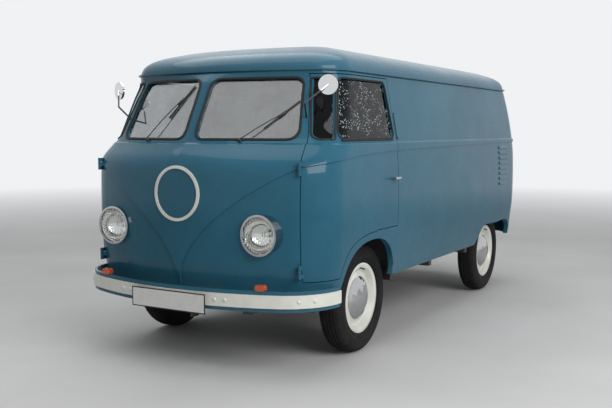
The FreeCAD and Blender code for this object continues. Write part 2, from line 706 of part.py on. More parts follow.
FORK_X = KINGPIN_X - 62.0
POST_HALF = 62.0
PIN_R = 13.0
pin_top = TYRE_R + POST_HALF + 34.0
pin_low = TYRE_R - POST_HALF - 34.0
axle_parts = list(axle_tubes)
for side_x in (-1, 1):
    for z in (TUBE_LOW_Z, TUBE_HIGH_Z):
        axle_parts.append(rod(point(side_x * (tube_ends - 30.0), TUBE_Y, z),
                              point(side_x * (tube_ends - 30.0), FRONT_AXLE_Y, z), 17.0))
    x = side_x * KINGPIN_X
    upright = rod(point(side_x * (tube_ends - 30.0), FRONT_AXLE_Y, TUBE_LOW_Z - 20.0),
                  point(side_x * (tube_ends - 30.0), FRONT_AXLE_Y, TUBE_HIGH_Z + 20.0), 20.0)
    axle_parts.append(upright)
    for z_low, z_high in ((pin_low, pin_low + 26.0), (pin_top - 26.0, pin_top)):
        ends = sorted((side_x * (tube_ends - 30.0), x))
        axle_parts.append(box(ends[0], ends[1], FRONT_AXLE_Y - 16.0, FRONT_AXLE_Y + 16.0, z_low, z_high))
        axle_parts.append(rod(point(x, FRONT_AXLE_Y, z_low), point(x, FRONT_AXLE_Y, z_high), 22.0))
    axle_parts.append(rod(point(x, FRONT_AXLE_Y, pin_low), point(x, FRONT_AXLE_Y, pin_top), PIN_R))
front_axle = fused(axle_parts)

# Steered knuckle with its spindle and brake plate

post = tube(point(KINGPIN_X, FRONT_AXLE_Y, pin_low + 28.0), point(KINGPIN_X, FRONT_AXLE_Y, pin_top - 28.0),
            23.0, PIN_R + RUN)
spindle = rod(point(KINGPIN_X + 20.0, FRONT_AXLE_Y, TYRE_R), point(TRACK_X + 44.0, FRONT_AXLE_Y, TYRE_R), SPINDLE_R)
brake_plate = rod(point(KINGPIN_X + 27.0, FRONT_AXLE_Y, TYRE_R), point(KINGPIN_X + 33.0, FRONT_AXLE_Y, TYRE_R), 124.0)
knuckle = fused([post, spindle, brake_plate])


# Wheel, tyre and hubcap turned about the axle line; radius first, then place along the axle

def turned(profile, centre_x, axle_y):
    outline = Part.makePolygon([point(centre_x + along, axle_y, TYRE_R + radius) for radius, along in profile]
                               + [point(centre_x + profile[0][1], axle_y, TYRE_R + profile[0][0])])
    return Part.Face(outline).revolve(point(centre_x, axle_y, TYRE_R), point(1, 0, 0), 360)


def wheel(axle_y):
    half = RIM_WIDTH / 2
    rim = turned([(RIM_R - 30, -22), (RIM_R - 24, 22), (RIM_R - 16, 36), (RIM_R - 10, half - 8),
                  (RIM_R + 11, half - 6), (RIM_R + 11, half), (RIM_R - 4, half + 1), (RIM_R - 16, half - 4),
                  (RIM_R - 24, 42), (RIM_R - 32, 26), (RIM_R - 40, 20), (150, 26), (HUBCAP_R, 34), (90, 34),
                  (80, 20), (40, 20), (40, 42), (SPINDLE_R + RUN, 42), (SPINDLE_R + RUN, -36), (46, -36),
                  (52, 8), (112, 8), (112, -40), (126, -40), (128, 12), (RIM_R - 38, 8), (RIM_R - 38, -24),
                  (RIM_R - 22, -half + 12), (RIM_R - 16, -half + 4), (RIM_R - 4, -half), (RIM_R + 11, -half),
                  (RIM_R + 11, -half + 6), (RIM_R - 10, -half + 8), (RIM_R - 16, -36)], TRACK_X, axle_y)
    return rim


def tyre(axle_y):
    half = TYRE_WIDTH / 2
    rim_half = RIM_WIDTH / 2
    profile = [(RIM_R - 9.5, rim_half - 9), (RIM_R + 11.5, rim_half - 7), (RIM_R + 12, rim_half + 2),
               (RIM_R + 30, half - 6), (RIM_R + 60, half), (RIM_R + 95, half - 6), (TYRE_R - 14, half - 17),
               (TYRE_R - 2, half - 34), (TYRE_R, half - 45)]
    outline = profile + [(radius, -along) for radius, along in reversed(profile)]
    inside = [(RIM_R + 6, -rim_half + 16), (RIM_R + 60, -half + 12), (TYRE_R - 22, -half + 26),
              (TYRE_R - 14, 0), (TYRE_R - 22, half - 26), (RIM_R + 60, half - 12), (RIM_R + 6, rim_half - 16)]
    return turned(outline + inside, TRACK_X, axle_y)


def hubcap(axle_y):
    return turned([(HUBCAP_R - 2, 34.3), (HUBCAP_R, 40), (112, 54), (80, 66), (40, 73), (0, 75), (0, 71),
                   (40, 69), (78, 62), (108, 50), (HUBCAP_R - 6, 38), (HUBCAP_R - 6, 34.3)], TRACK_X, axle_y)


# Engine and gearbox at the back, with the stub axles of the rear wheels

gearbox = fused([
    box(-130.0, 130.0, REAR_AXLE_Y - 130.0, REAR_AXLE_Y + 150.0, TYRE_R - 60.0, TYRE_R + 150.0),
    rod(point(0, deck_start + 80.0, TYRE_R + 50.0), point(0, REAR_AXLE_Y - 130.0, TYRE_R + 50.0), 85.0)])
shafts = []
for side_x in (-1, 1):
    shafts.append(rod(point(side_x * 120.0, REAR_AXLE_Y, HALF_SHAFT_Z),
                      point(side_x * 640.0, REAR_AXLE_Y, HALF_SHAFT_Z), SHAFT_R))
    ends = sorted((side_x * 610.0, side_x * 640.0))
    shafts.append(box(ends[0], ends[1], REAR_AXLE_Y - 50.0, REAR_AXLE_Y + 50.0, TYRE_R, HALF_SHAFT_Z))
    shafts.append(rod(point(ends[0], REAR_AXLE_Y, TYRE_R), point(ends[1], REAR_AXLE_Y, TYRE_R), 105.0))
    shafts.append(rod(point(side_x * 620.0, REAR_AXLE_Y, TYRE_R),
                      point(side_x * (TRACK_X + 44.0), REAR_AXLE_Y, TYRE_R), SPINDLE_R))
rear_axle = fused([gearbox] + shafts).cut(frame)
engine = box(-330.0, 330.0, REAR_AXLE_Y + 150.0 + SEAT, REAR_AXLE_Y + 520.0, TYRE_R + 20.0, TYRE_R + 430.0)
engine = engine.cut(box(RAIL_X - RAIL_HALF - 12.0, BEYOND, -BEYOND, BEYOND, 0, BEYOND))
silencer = fused([
    rod(point(-280.0, REAR_AXLE_Y + 600.0, TYRE_R + 30.0), point(280.0, REAR_AXLE_Y + 600.0, TYRE_R + 30.0), 62.0),
    rod(point(-180.0, REAR_AXLE_Y + 500.0, TYRE_R + 40.0), point(-180.0, REAR_AXLE_Y + 600.0, TYRE_R + 40.0), 20.0),
    rod(point(180.0, REAR_AXLE_Y + 600.0, TYRE_R + 20.0), point(180.0, TAIL_Y - 20.0, TYRE_R - 20.0), 18.0)])
silencer = silencer.cut(engine).cut(frame)

# Front bumper wrapped round the nose

BUMPER_LOW_Z = 380.0
BUMPER_TOP_Z = 494.0
BAND_LOW_Z = 402.0
BAND_TOP_Z = 474.0
BUMPER_THICK = 24.0
BAND_THICK = 9.0
BUMPER_END_Y = -1590.0


def bumper_wire(inset):
    return plan_wire(BUMPER_LOW_Z, BODY_WIDTH / 2 + 10.0, BUMPER_FRONT_Y, TAIL_Y, NOSE_BOW, 0.0,
                     NOSE_CORNER + 60.0, TAIL_CORNER, inset)


def bumper_strip(inset, thick, low, high):
    plan = Part.Face(bumper_wire(inset)).cut(Part.Face(bumper_wire(inset + thick)))
    plan.translate(point(0, 0, low - BUMPER_LOW_Z))
    strip = plan.extrude(point(0, 0, high - low))
    return strip.common(box(-BEYOND, BEYOND, -BEYOND, BUMPER_END_Y, 0, BEYOND))


bumper = bumper_strip(BAND_THICK, BUMPER_THICK - BAND_THICK, BUMPER_LOW_Z, BUMPER_TOP_Z)
bumper_band = bumper_strip(0.0, BAND_THICK - SEAT, BAND_LOW_Z, BAND_TOP_Z)
stay_inside = Part.Face(bumper_wire(BUMPER_THICK - 4.0)).extrude(point(0, 0, SILL_Z - SEAT - BUMPER_LOW_Z))
stays = [box(x - 20.0, x + 20.0, -BEYOND, NOSE_Y + 140.0, SILL_Z - 45.0, SILL_Z - SEAT) for x in (-RAIL_X, RAIL_X)]
stays = [stay.common(stay_inside).cut(frame) for stay in stays]
bumper = fused([bumper] + stays)

# Blank number plate on the bumper

PLATE_HALF = 258.0
PLATE_LOW_Z = 354.0
PLATE_HIGH = 112.0
plate = box(-PLATE_HALF, PLATE_HALF, BUMPER_FRONT_Y - 6.0, BUMPER_FRONT_Y - 3.0, PLATE_LOW_Z, PLATE_LOW_Z + PLATE_HIGH)
plate_stay = box(-60.0, 60.0, BUMPER_FRONT_Y - 3.0 + SEAT, BUMPER_FRONT_Y + 20.0, BUMPER_LOW_Z - 14.0,
                 BUMPER_LOW_Z + 10.0)
bumper = fused([bumper, plate_stay])

# Seat, wheel and instrument inside the cab

SEAT_HALF = 560.0
seat_base = box(-SEAT_HALF, SEAT_HALF, footwell_end + 120.0, arch_end - 90.0, ARCH_FLOOR_Z + SEAT, ARCH_FLOOR_Z + 60.0)
cushion = rounded(box(-SEAT_HALF, SEAT_HALF, footwell_end + 100.0, arch_end - 120.0,
                      ARCH_FLOOR_Z + 60.0 + SEAT, ARCH_FLOOR_Z + 180.0), point(0, 0, 1), 50.0)
backrest = rounded(box(-SEAT_HALF, SEAT_HALF, arch_end - 110.0, arch_end - SEAT,
                       ARCH_FLOOR_Z + 60.0 + SEAT, ARCH_FLOOR_Z + 500.0), point(0, 1, 0), 50.0)

STEER_X = 340.0
column_low = point(STEER_X, NOSE_Y + 250.0, FLOOR_Z + SEAT)
column_top = point(STEER_X, NOSE_Y + 555.0, FLOOR_Z + 640.0)
column_axis = column_top.sub(column_low).normalize()


def along_column(distance):
    return column_low.add(FreeCAD.Vector(column_axis).multiply(distance))


column_length = column_top.sub(column_low).Length
column = tube(along_column(15.0), column_top, 24.0, 12.0 + RUN)
column = fused([column, box(STEER_X - 40.0, STEER_X + 40.0, column_low.y - 45.0, column_low.y + 45.0,
                            FLOOR_Z + SEAT, FLOOR_Z + 40.0)]).cut(rod(along_column(0.0), along_column(BEYOND), 12.0 + RUN))
WHEEL_RING = 205.0
steer_centre = along_column(column_length + 26.0)
steering_ring = Part.makeTorus(WHEEL_RING, 12.0, steer_centre, column_axis)
steering_hub = rod(along_column(column_length + 2.0), along_column(column_length + 30.0), 34.0)
steering_shaft = rod(along_column(60.0), along_column(column_length + 10.0), 12.0)
spokes = []
for turn in (0, 180):
    spoke = rod(steer_centre, steer_centre.add(point(WHEEL_RING, 0, 0)), 8.0)
    spoke.rotate(steer_centre, column_axis, turn)
    spokes.append(spoke)
steering_wheel = fused([steering_ring, steering_hub, steering_shaft] + spokes)

DASH_Z = 1180.0
dash_shelf = box(-BEYOND, BEYOND, -BEYOND, NOSE_Y + 210.0, DASH_Z, DASH_Z + 20.0).common(cabin)
instrument = rod(point(STEER_X, NOSE_Y + 120.0, DASH_Z + 70.0), point(STEER_X, NOSE_Y + 225.0, DASH_Z + 90.0), 58.0)
instrument = instrument.common(cabin)
dashboard = fused([dash_shelf, instrument])

# Lamps

lamp_rim = tube(point(LAMP_X, LAMP_Y, LAMP_Z), point(LAMP_X, LAMP_Y + 60.0, LAMP_Z), LAMP_R, LAMP_R - 12.0)
lamp_rim = lamp_rim.cut(outer)
lamp_bucket = tube(point(LAMP_X, LAMP_Y + 12.0, LAMP_Z), lamp_back, LAMP_R - 6.0, LAMP_R - 14.0)
lamp_rim = fused([lamp_rim, lamp_bucket, rod(point(LAMP_X, LAMP_Y + 124.0, LAMP_Z), lamp_back, LAMP_R - 7.0)])
lens_ball = Part.makeSphere(LAMP_R * 2, point(LAMP_X, LAMP_Y + LAMP_R * 2 - 22.0, LAMP_Z))
lens = rod(point(LAMP_X, LAMP_Y - 30.0, LAMP_Z), point(LAMP_X, LAMP_Y + 14.0, LAMP_Z), LAMP_R - 14.0 - SEAT)
lens = lens.common(lens_ball)
MARKER_X = 548.0
TAIL_LAMP_X = 655.0
TAIL_LAMP_Z = 720.0

marker_y = BUMPER_FRONT_Y + NOSE_BOW - sqrt((NOSE_BOW - BAND_THICK) ** 2 - MARKER_X ** 2) + 8.0
marker = rounded(box(MARKER_X - 30.0, MARKER_X + 30.0, marker_y - 16.0, marker_y + 16.0,
                     BUMPER_TOP_Z + SEAT, BUMPER_TOP_Z + 34.0), point(0, 1, 0), 15.0)
RING_Z = 1003.0
RING_R = 157.0
nose_ring = proud(tube(point(0, -BEYOND, RING_Z), point(0, 0, RING_Z), RING_R, RING_R - 17.0), BELT_RISE + 7.0)
nose_ring = nose_ring.cut(skin(-BELT_RISE))
tail_lamp = proud(rod(point(TAIL_LAMP_X, 0, TAIL_LAMP_Z), point(TAIL_LAMP_X, BEYOND, TAIL_LAMP_Z), 45.0), 26.0)

# Hinges, handles, mirrors and wipers



MIRROR_HEAD = point(754.0, -1560.0, 1605.0)
MIRROR_R = 55.0


def mirror_unit():
    foot = point(634.0, -1590.0, 1420.0)
    bend = point(668.0, -1672.0, 1500.0)
    facing = point(-0.35, 0.93, 0.0).normalize()
    back = MIRROR_HEAD.sub(FreeCAD.Vector(facing).multiply(10.0))
    arm = fused([rod(foot, bend, 5.0), Part.makeSphere(5.0, bend), rod(bend, back, 5.0)])
    dish = Part.makeCylinder(MIRROR_R, 14.0, back, facing)
    return fused([arm.cut(outer), dish])


WIPER_LOW = 12.0
WIPER_HIGH = 20.0


def strip(start_x, start_z, end_x, end_z, half):
    along = point(end_x - start_x, 0, end_z - start_z).normalize().multiply(half)
    return front_prism([(start_x - along.z, start_z + along.x), (end_x - along.z, end_z + along.x),
                        (end_x + along.z, end_z - along.x), (start_x + along.z, start_z - along.x)],
                       -BEYOND, FRONT_AXLE_Y - 300.0)


def wiper_unit(pivot_x, pivot_z, tip_x, tip_z):
    boss = rod(point(pivot_x, -BEYOND, pivot_z), point(pivot_x, -1500.0, pivot_z), 12.0)
    arm_layer = skin(-WIPER_HIGH).cut(skin(-WIPER_LOW))
    blade_layer = skin(-WIPER_LOW).cut(skin(-SEAT))
    reach_x = tip_x - pivot_x
    reach_z = tip_z - pivot_z
    blade = strip(tip_x - 0.42 * reach_x, tip_z - 0.52 * reach_z, tip_x + 0.42 * reach_x, tip_z + 0.48 * reach_z, 4.0)
    return fused([skin(-WIPER_HIGH).cut(skin(-SEAT)).common(boss),
                  arm_layer.common(strip(pivot_x, pivot_z, tip_x, tip_z, 5.0)),
                  blade_layer.common(blade)])


wipers = [wiper_unit(314.0, 1306.0, 499.0, 1443.0), wiper_unit(-355.0, 1306.0, -162.0, 1523.0)]

handle_z = 1060.0
door_handle = fused([
    rod(point(800.0, DOOR_REAR_Y - 110.0, handle_z), point(BODY_WIDTH / 2 + 26.0, DOOR_REAR_Y - 110.0, handle_z), 9.0),
    rod(point(BODY_WIDTH / 2 + 26.0, DOOR_REAR_Y - 120.0, handle_z),
        point(BODY_WIDTH / 2 + 26.0, DOOR_REAR_Y - 10.0 - 30.0, handle_z), 9.0)]).cut(outer)
cargo_handle = fused([
    rod(point(-800.0, cargo_middle - 60.0, handle_z), point(-BODY_WIDTH / 2 - 26.0, cargo_middle - 60.0, handle_z), 9.0),
    rod(point(-BODY_WIDTH / 2 - 26.0, cargo_middle - 60.0, handle_z + 5.0),
        point(-BODY_WIDTH / 2 - 26.0, cargo_middle - 60.0, handle_z - 110.0), 9.0)]).cut(outer)
lid_handle = fused([
    rod(point(0, TAIL_Y - 60.0, LID_LOW_Z + 70.0), point(0, TAIL_Y - 10.0, LID_LOW_Z + 70.0), 10.0),
    rod(point(-45.0, TAIL_Y - 8.0, LID_LOW_Z + 70.0), point(45.0, TAIL_Y - 8.0, LID_LOW_Z + 70.0), 8.0)]).cut(outer)

# Towing eyes under the ends of the frame

EYE_R = 13.0


def towing_eye(y):
    plate = box(-9.0, 9.0, y - 30.0, y + 30.0, RAIL_LOW_Z - 55.0, RAIL_LOW_Z + 25.0)
    return plate.cut(rod(point(-BEYOND, y, RAIL_LOW_Z - 22.0), point(BEYOND, y, RAIL_LOW_Z - 22.0), EYE_R))


def save(name, shape):
    shape.exportStep("parts/" + name + ".step")


os.makedirs("parts", exist_ok=True)
save("nose_panel", nose)
save("roof_panel", roof)
save("side_panel_left", left_side)
save("side_panel_right", right_side)
save("tail_panel", tail)
save("door_left", door)
save("door_right", mirrored(door))
save("door_glass_left", Part.makeCompound(door_glass))
save("door_glass_right", Part.makeCompound([mirrored(pane) for pane in door_glass]))
save("cargo_door_front", cargo_front)
save("cargo_door_rear", cargo_rear)
save("engine_lid", lid)
save("fixed_glass", fixed_glass)
save("cab_floor", cab_floor)
save("load_floor", load_floor)
save("bulkhead", bulkhead)
save("chassis_frame", frame)
save("front_axle", front_axle)
save("knuckle_left", knuckle)
save("knuckle_right", mirrored(knuckle))
corners = {"front_left": (FRONT_AXLE_Y, False), "front_right": (FRONT_AXLE_Y, True),
           "rear_left": (REAR_AXLE_Y, False), "rear_right": (REAR_AXLE_Y, True)}
for corner, (axle_y, right) in corners.items():
    for kind, solid in (("wheel", wheel(axle_y)), ("tyre", tyre(axle_y)), ("hubcap", hubcap(axle_y))):
        save(kind + "_" + corner, mirrored(solid) if right else solid)
save("rear_axle", rear_axle)
save("engine", engine)
save("silencer", silencer)
save("front_bumper", bumper)
save("bumper_band", bumper_band)
save("number_plate", plate)
save("nose_ring", nose_ring)
save("seat_base", seat_base)
save("seat_cushions", Part.makeCompound([cushion, backrest]))
save("steering_column", column)
save("steering_wheel", steering_wheel)
save("dashboard", dashboard)
save("headlamp_rims", Part.makeCompound(both_sides(lamp_rim)))
save("headlamp_lenses", Part.makeCompound(both_sides(lens)))
save("marker_lamps", Part.makeCompound(both_sides(marker)))
save("tail_lamps", Part.makeCompound(both_sides(tail_lamp)))
save("mirrors", Part.makeCompound(both_sides(mirror_unit())))
save("wipers", Part.makeCompound(wipers))
save("door_handle_left", door_handle)
save("door_handle_right", mirrored(door_handle))
save("cargo_handle", cargo_handle)
save("lid_handle", lid_handle)
save("towing_eyes", Part.makeCompound([towing_eye(NOSE_Y + 150.0), towing_eye(deck_start - 90.0)]))
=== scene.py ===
import json
from math import cos, radians, sin, tau

import bmesh
import bpy
from bpy.props import FloatProperty, FloatVectorProperty, IntProperty, PointerProperty
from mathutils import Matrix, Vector


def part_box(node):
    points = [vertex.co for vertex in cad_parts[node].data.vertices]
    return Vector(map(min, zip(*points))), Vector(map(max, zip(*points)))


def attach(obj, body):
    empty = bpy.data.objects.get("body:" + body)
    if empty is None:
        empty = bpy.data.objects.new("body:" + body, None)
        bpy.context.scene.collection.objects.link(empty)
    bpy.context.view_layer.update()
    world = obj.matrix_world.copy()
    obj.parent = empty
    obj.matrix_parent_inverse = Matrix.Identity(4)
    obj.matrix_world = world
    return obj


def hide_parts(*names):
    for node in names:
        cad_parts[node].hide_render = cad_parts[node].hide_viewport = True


bl_info = {
    "name": "Panel van",
    "version": (1, 0, 0),
    "blender": (4, 5, 0),
    "location": "View3D > Sidebar > Van",
    "description": "Finishes and fittings of an early rear-engined panel van",
    "category": "Object",
}

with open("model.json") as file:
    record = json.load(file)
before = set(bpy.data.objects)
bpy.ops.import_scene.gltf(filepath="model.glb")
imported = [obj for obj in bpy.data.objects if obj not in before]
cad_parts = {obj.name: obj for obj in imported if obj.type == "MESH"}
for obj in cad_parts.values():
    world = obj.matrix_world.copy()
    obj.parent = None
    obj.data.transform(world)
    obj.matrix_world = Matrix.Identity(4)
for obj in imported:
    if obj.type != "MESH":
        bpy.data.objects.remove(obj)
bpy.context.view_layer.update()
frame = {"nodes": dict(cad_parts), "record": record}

CORNERS = ("front_left", "front_right", "rear_left", "rear_right")
SIDES = {"left": 1.0, "right": -1.0}
BACKWARD = Vector((0.0, 1.0, 0.0))
UPWARD = Vector((0.0, 0.0, 1.0))


# Sizes and colours

class VanColours(bpy.types.PropertyGroup):
    """Paints and dyes of the van, and the painted sky reflection on the crown of the roof"""

    body: FloatVectorProperty(name="Body", description="Grey-blue body paint", subtype="COLOR",
                              default=(0.014, 0.094, 0.148), min=0.0, max=1.0)
    body_faded: FloatVectorProperty(name="Faded body", description="Body paint where the sun has bleached it",
                                    subtype="COLOR", default=(0.020, 0.113, 0.172), min=0.0, max=1.0)
    # Paler colour on the crown of the roof: a painted sky reflection, not a paint of its own
    roof_sky_reflection: FloatVectorProperty(name="Roof sky reflection", description="Paint on the crown of the roof",
                                     subtype="COLOR", default=(0.075, 0.150, 0.205), min=0.0, max=1.0)
    ivory: FloatVectorProperty(name="Ivory", description="Bumper band, wheels and nose ring", subtype="COLOR",
                               default=(0.67, 0.675, 0.615), min=0.0, max=1.0)
    dust: FloatVectorProperty(name="Road dust", description="Dust low on the panels and in the wheels",
                              subtype="COLOR", default=(0.16, 0.145, 0.12), min=0.0, max=1.0)
    seat: FloatVectorProperty(name="Seat covers", description="Dark vinyl of the bench", subtype="COLOR",
                              default=(0.035, 0.033, 0.032), min=0.0, max=1.0)
    trim: FloatVectorProperty(name="Trim boards", description="Pale board on the doors and roof lining",
                              subtype="COLOR", default=(0.34, 0.33, 0.29), min=0.0, max=1.0)


class VanSizes(bpy.types.PropertyGroup):
    """Sizes of the fittings that are added to the body"""

    seal_width: FloatProperty(name="Screen seal width", description="Width of the rubber round each screen",
                              default=0.016, min=0.008, max=0.04, unit="LENGTH")
    seal_rise: FloatProperty(name="Seal height", description="How far the rubber stands off the metal",
                             default=0.007, min=0.002, max=0.012, unit="LENGTH")
    door_seal_width: FloatProperty(name="Door seal width",
                                   description="Width of the rubber in the door windows",
                                   default=0.012, min=0.005, max=0.03, unit="LENGTH")
    groove_depth: FloatProperty(name="Tread depth", description="Depth of the grooves in the tyres",
                                default=0.006, min=0.002, max=0.012, unit="LENGTH")
    tread_waves: IntProperty(name="Tread waves", description="Zigzags round the tyre", default=54, min=10,
                             max=90)
    pleat_pitch: FloatProperty(name="Pleat pitch",
                               description="Distance between the sewn channels of the bench",
                               default=0.062, min=0.03, max=0.12, unit="LENGTH")
    board_pitch: FloatProperty(name="Board pitch",
                               description="Distance between the boards of the load floor",
                               default=0.150, min=0.08, max=0.25, unit="LENGTH")


class VanStage(bpy.types.PropertyGroup):
    """Camera and lights"""

    lens: FloatProperty(name="Lens", description="Focal length of the camera", default=49.957, min=20.0,
                        max=200.0,
                        unit="CAMERA")
    key_power: FloatProperty(name="Key light", description="Power of the large light beside the van",
                             default=400.0, min=0.0, max=3000.0, unit="POWER")
    top_power: FloatProperty(name="Top light", description="Power of the light above the van", default=230.0,
                             min=0.0, max=3000.0, unit="POWER")


# Mesh making

def new_piece(name, mesh_maker, finish, body, smooth=True):
    """Makes an object that rides on a body and gives it the named finish."""
    mesh = bpy.data.meshes.new(name)
    work = bmesh.new()
    mesh_maker(work)
    bmesh.ops.recalc_face_normals(work, faces=work.faces)
    work.to_mesh(mesh)
    work.free()
    for face in mesh.polygons:
        face.use_smooth = smooth
    piece = bpy.data.objects.new(name, mesh)
    bpy.context.collection.objects.link(piece)
    piece.data.materials.append(bpy.data.materials[finish])
    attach(piece, body)
    return piece


def add_ring_faces(work, rings, closed_path, closed_ring=True):
    count = len(rings[0])
    rows = len(rings)
    for row in range(rows if closed_path else rows - 1):
        here = rings[row]
        after = rings[(row + 1) % rows]
        for index in range(count if closed_ring else count - 1):
            other = (index + 1) % count
            work.faces.new((here[index], here[other], after[other], after[index]))


def lathe(work, profile, centre, axis, steps):
    """Turns (radius, distance along the axis) pairs about an axis; radius 0 closes the end."""
    along = axis.normalized()
    side = along.orthogonal().normalized()
    other = along.cross(side)
    rings = []
    for step in range(steps):
        turn = tau * step / steps
        out = side * cos(turn) + other * sin(turn)
        rings.append([work.verts.new(centre + along * distance + out * radius) for radius,
                      distance in profile])
    add_ring_faces(work, rings, True, closed_ring=False)
    bmesh.ops.remove_doubles(work, verts=work.verts, dist=0.00002)


def sweep(work, path, normals, profile, closed):
    """Carries a profile of (across, outward) pairs along a path that lies on a surface."""
    rings = []
    count = len(path)
    for index, place in enumerate(path):
        if closed:
            run = path[(index + 1) % count] - path[index - 1]
        else:
            run = path[min(index + 1, count - 1)] - path[max(index - 1, 0)]
        across = run.cross(normals[index]).normalized()
        rings.append([work.verts.new(place + across * a + normals[index] * b) for a, b in profile])
    add_ring_faces(work, rings, closed)
    if not closed:
        work.faces.new(list(reversed(rings[0])))
        work.faces.new(rings[-1])


def tube(work, points, radius, sides=12):
    path = smooth_path(points)
    up = UPWARD
    normals = []
    for index in range(len(path)):
        run = path[min(index + 1, len(path) - 1)] - path[max(index - 1, 0)]
        if abs(run.normalized().dot(up)) > 0.9:
            up = Vector((1.0, 0.0, 0.0))
        normals.append((up - run * (up.dot(run) / run.length_squared)).normalized())
    profile = [(radius * cos(tau * step / sides), radius * sin(tau * step / sides)) for step in range(sides)]
    sweep(work, path, normals, profile, False)


def smooth_path(points, steps=8):
    """Catmull-Rom curve through the given points."""
    corners = [Vector(p) for p in points]
    if len(corners) < 3:
        return corners
    corners = [corners[0] * 2 - corners[1]] + corners + [corners[-1] * 2 - corners[-2]]
    path = []
    for index in range(1, len(corners) - 2):
        a, b, c, d = corners[index - 1:index + 3]
        for step in range(steps):
            t = step / steps
            path.append(0.5 * (2 * b + (c - a) * t + (2 * a - 5 * b + 4 * c - d) * t ** 2
                               + (3 * b - a - 3 * c + d) * t ** 3))
    path.append(corners[-2])
    return path


def rounded_outline(corners, radius, grow=0.0, steps=7, spacing=0.03):
    """Rounded polygon of 2-D corners, grown outward and divided into short runs."""
    flat = [Vector(c) for c in corners]
    area = sum(a.x * b.y - b.x * a.y for a, b in zip(flat, flat[1:] + flat[:1]))
    turn = 1.0 if area > 0 else -1.0
    grown = []
    count = len(flat)
    for index in range(count):
        before = (flat[index] - flat[index - 1]).normalized()
        after = (flat[(index + 1) % count] - flat[index]).normalized()
        out_before = Vector((before.y, -before.x)) * turn
        out_after = Vector((after.y, -after.x)) * turn
        middle = (out_before + out_after).normalized()
        grown.append(flat[index] + middle * (grow / max(0.2, middle.dot(out_before))))
    outline = []
    for index in range(count):
        corner = grown[index]
        before = (grown[index - 1] - corner).normalized()
        after = (grown[(index + 1) % count] - corner).normalized()
        half = before.angle(after) / 2
        cut = (radius + grow) * cos(half) / sin(half)
        start = corner + before * cut
        end = corner + after * cut
        for step in range(steps + 1):
            t = step / steps
            outline.append(start * (1 - t) ** 2 + corner * 2 * t * (1 - t) + end * t ** 2)
        following = grown[(index + 1) % count]
        next_before = (corner - following).normalized()
        next_after = (grown[(index + 2) % count] - following).normalized()
        next_half = next_before.angle(next_after) / 2
        next_start = following + next_before * ((radius + grow) * cos(next_half) / sin(next_half))
        run = next_start - end
        pieces = max(1, int(run.length / spacing))
        outline.extend(end + run * (step / pieces) for step in range(1, pieces))
    return outline


def box_of(name):
    """Lowest and highest corner of a CAD node."""
    low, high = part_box(name)
    return Vector(low), Vector(high)


def first_hit(nodes, origin, direction):
    best = None
    for name in nodes:
        found, place, normal, _ = frame["nodes"][name].ray_cast(origin, direction)
        if found and (best is None or (place - origin).length < (best[0] - origin).length):
            best = (place, normal)
    if best is None:
        return None
    place, normal = best
    return place, (-normal if normal.dot(direction) > 0 else normal).normalized()


def hit(nodes, origin, direction):
    """Nearest place and normal where a ray meets any of the CAD nodes."""
    found = first_hit(nodes, origin, direction)
    if found is None:
        raise RuntimeError("nothing of " + ", ".join(nodes) + " lies at " + str(tuple(origin)))
    return found


def cast_path(nodes, outline, ray):
    """Lays a 2-D outline on the CAD nodes; where a ray passes the edge, the edge itself is taken."""
    path = []
    normals = []
    for corner in outline:
        origin, direction = ray(corner)
        found = first_hit(nodes, origin, direction)
        if found is None:
            last = path[-1]
            aim = origin + direction * (last - origin).dot(direction)
            _, place, _, _ = frame["nodes"][nodes[0]].closest_point_on_mesh(aim)
            found = (place, normals[-1])
        path.append(found[0])
        normals.append(found[1])
    count = len(normals)
    soft = [(normals[i - 2] + normals[i - 1] * 2 + normals[i] * 3 + normals[(i + 1) % count] * 2
             + normals[(i + 2) % count]).normalized() for i in range(count)]
    return path, soft


def from_front(corner):
    return Vector((corner.x, -3.0, corner.y)), BACKWARD


def from_back(corner):
    return Vector((corner.x, 3.0, corner.y)), -BACKWARD


def from_side(side):
    def ray(corner):
        return Vector((3.0 * side, corner.x, corner.y)), Vector((-side, 0.0, 0.0))
    return ray


def from_inside(side):
    def ray(corner):
        return Vector((0.0, corner.x, corner.y)), Vector((side, 0.0, 0.0))
    return ray


def from_above(height):
    def ray(corner):
        return Vector((corner.x, corner.y, height)), -UPWARD
    return ray


def line_on(nodes, start, end, steps, ray):
    """Places and normals where a straight 2-D line falls on the CAD nodes."""
    found = [hit(nodes, *ray(Vector(start).lerp(Vector(end), step / steps))) for step in range(steps + 1)]
    return [place for place, _ in found], [normal for _, normal in found]


def laid_sheet(work, nodes, corners, ray, lift, thick, across=14, up=10):
    """A thin board that follows the surface of the nodes between four 2-D corners."""
    a, b, c, d = [Vector(corner) for corner in corners]
    low = []
    high = []
    for row in range(up + 1):
        v = row / up
        low_row = []
        high_row = []
        for column in range(across + 1):
            u = column / across
            flat = (a * (1 - u) + b * u) * (1 - v) + (d * (1 - u) + c * u) * v
            place, normal = hit(nodes, *ray(flat))
            low_row.append(work.verts.new(place + normal * lift))
            high_row.append(work.verts.new(place + normal * (lift + thick)))
        low.append(low_row)
        high.append(high_row)
    for row in range(up):
        for column in range(across):
            for grid in (low, high):
                work.faces.new((grid[row][column], grid[row][column + 1], grid[row + 1][column + 1],
                                grid[row + 1][column]))
    rim = [(0, c) for c in range(across)] + [(r, across) for r in range(up)]
    rim += [(up, c) for c in range(across, 0, -1)] + [(r, 0) for r in range(up, 0, -1)]
    for index, (r, c) in enumerate(rim):
        s, t = rim[(index + 1) % len(rim)]
        work.faces.new((low[r][c], low[s][t], high[s][t], high[r][c]))


def bevelled(piece, width, segments=2):
    bevel = piece.modifiers.new("soft_edges", "BEVEL")
    bevel.width = width
    bevel.segments = segments
    bevel.limit_method = "ANGLE"
    return piece


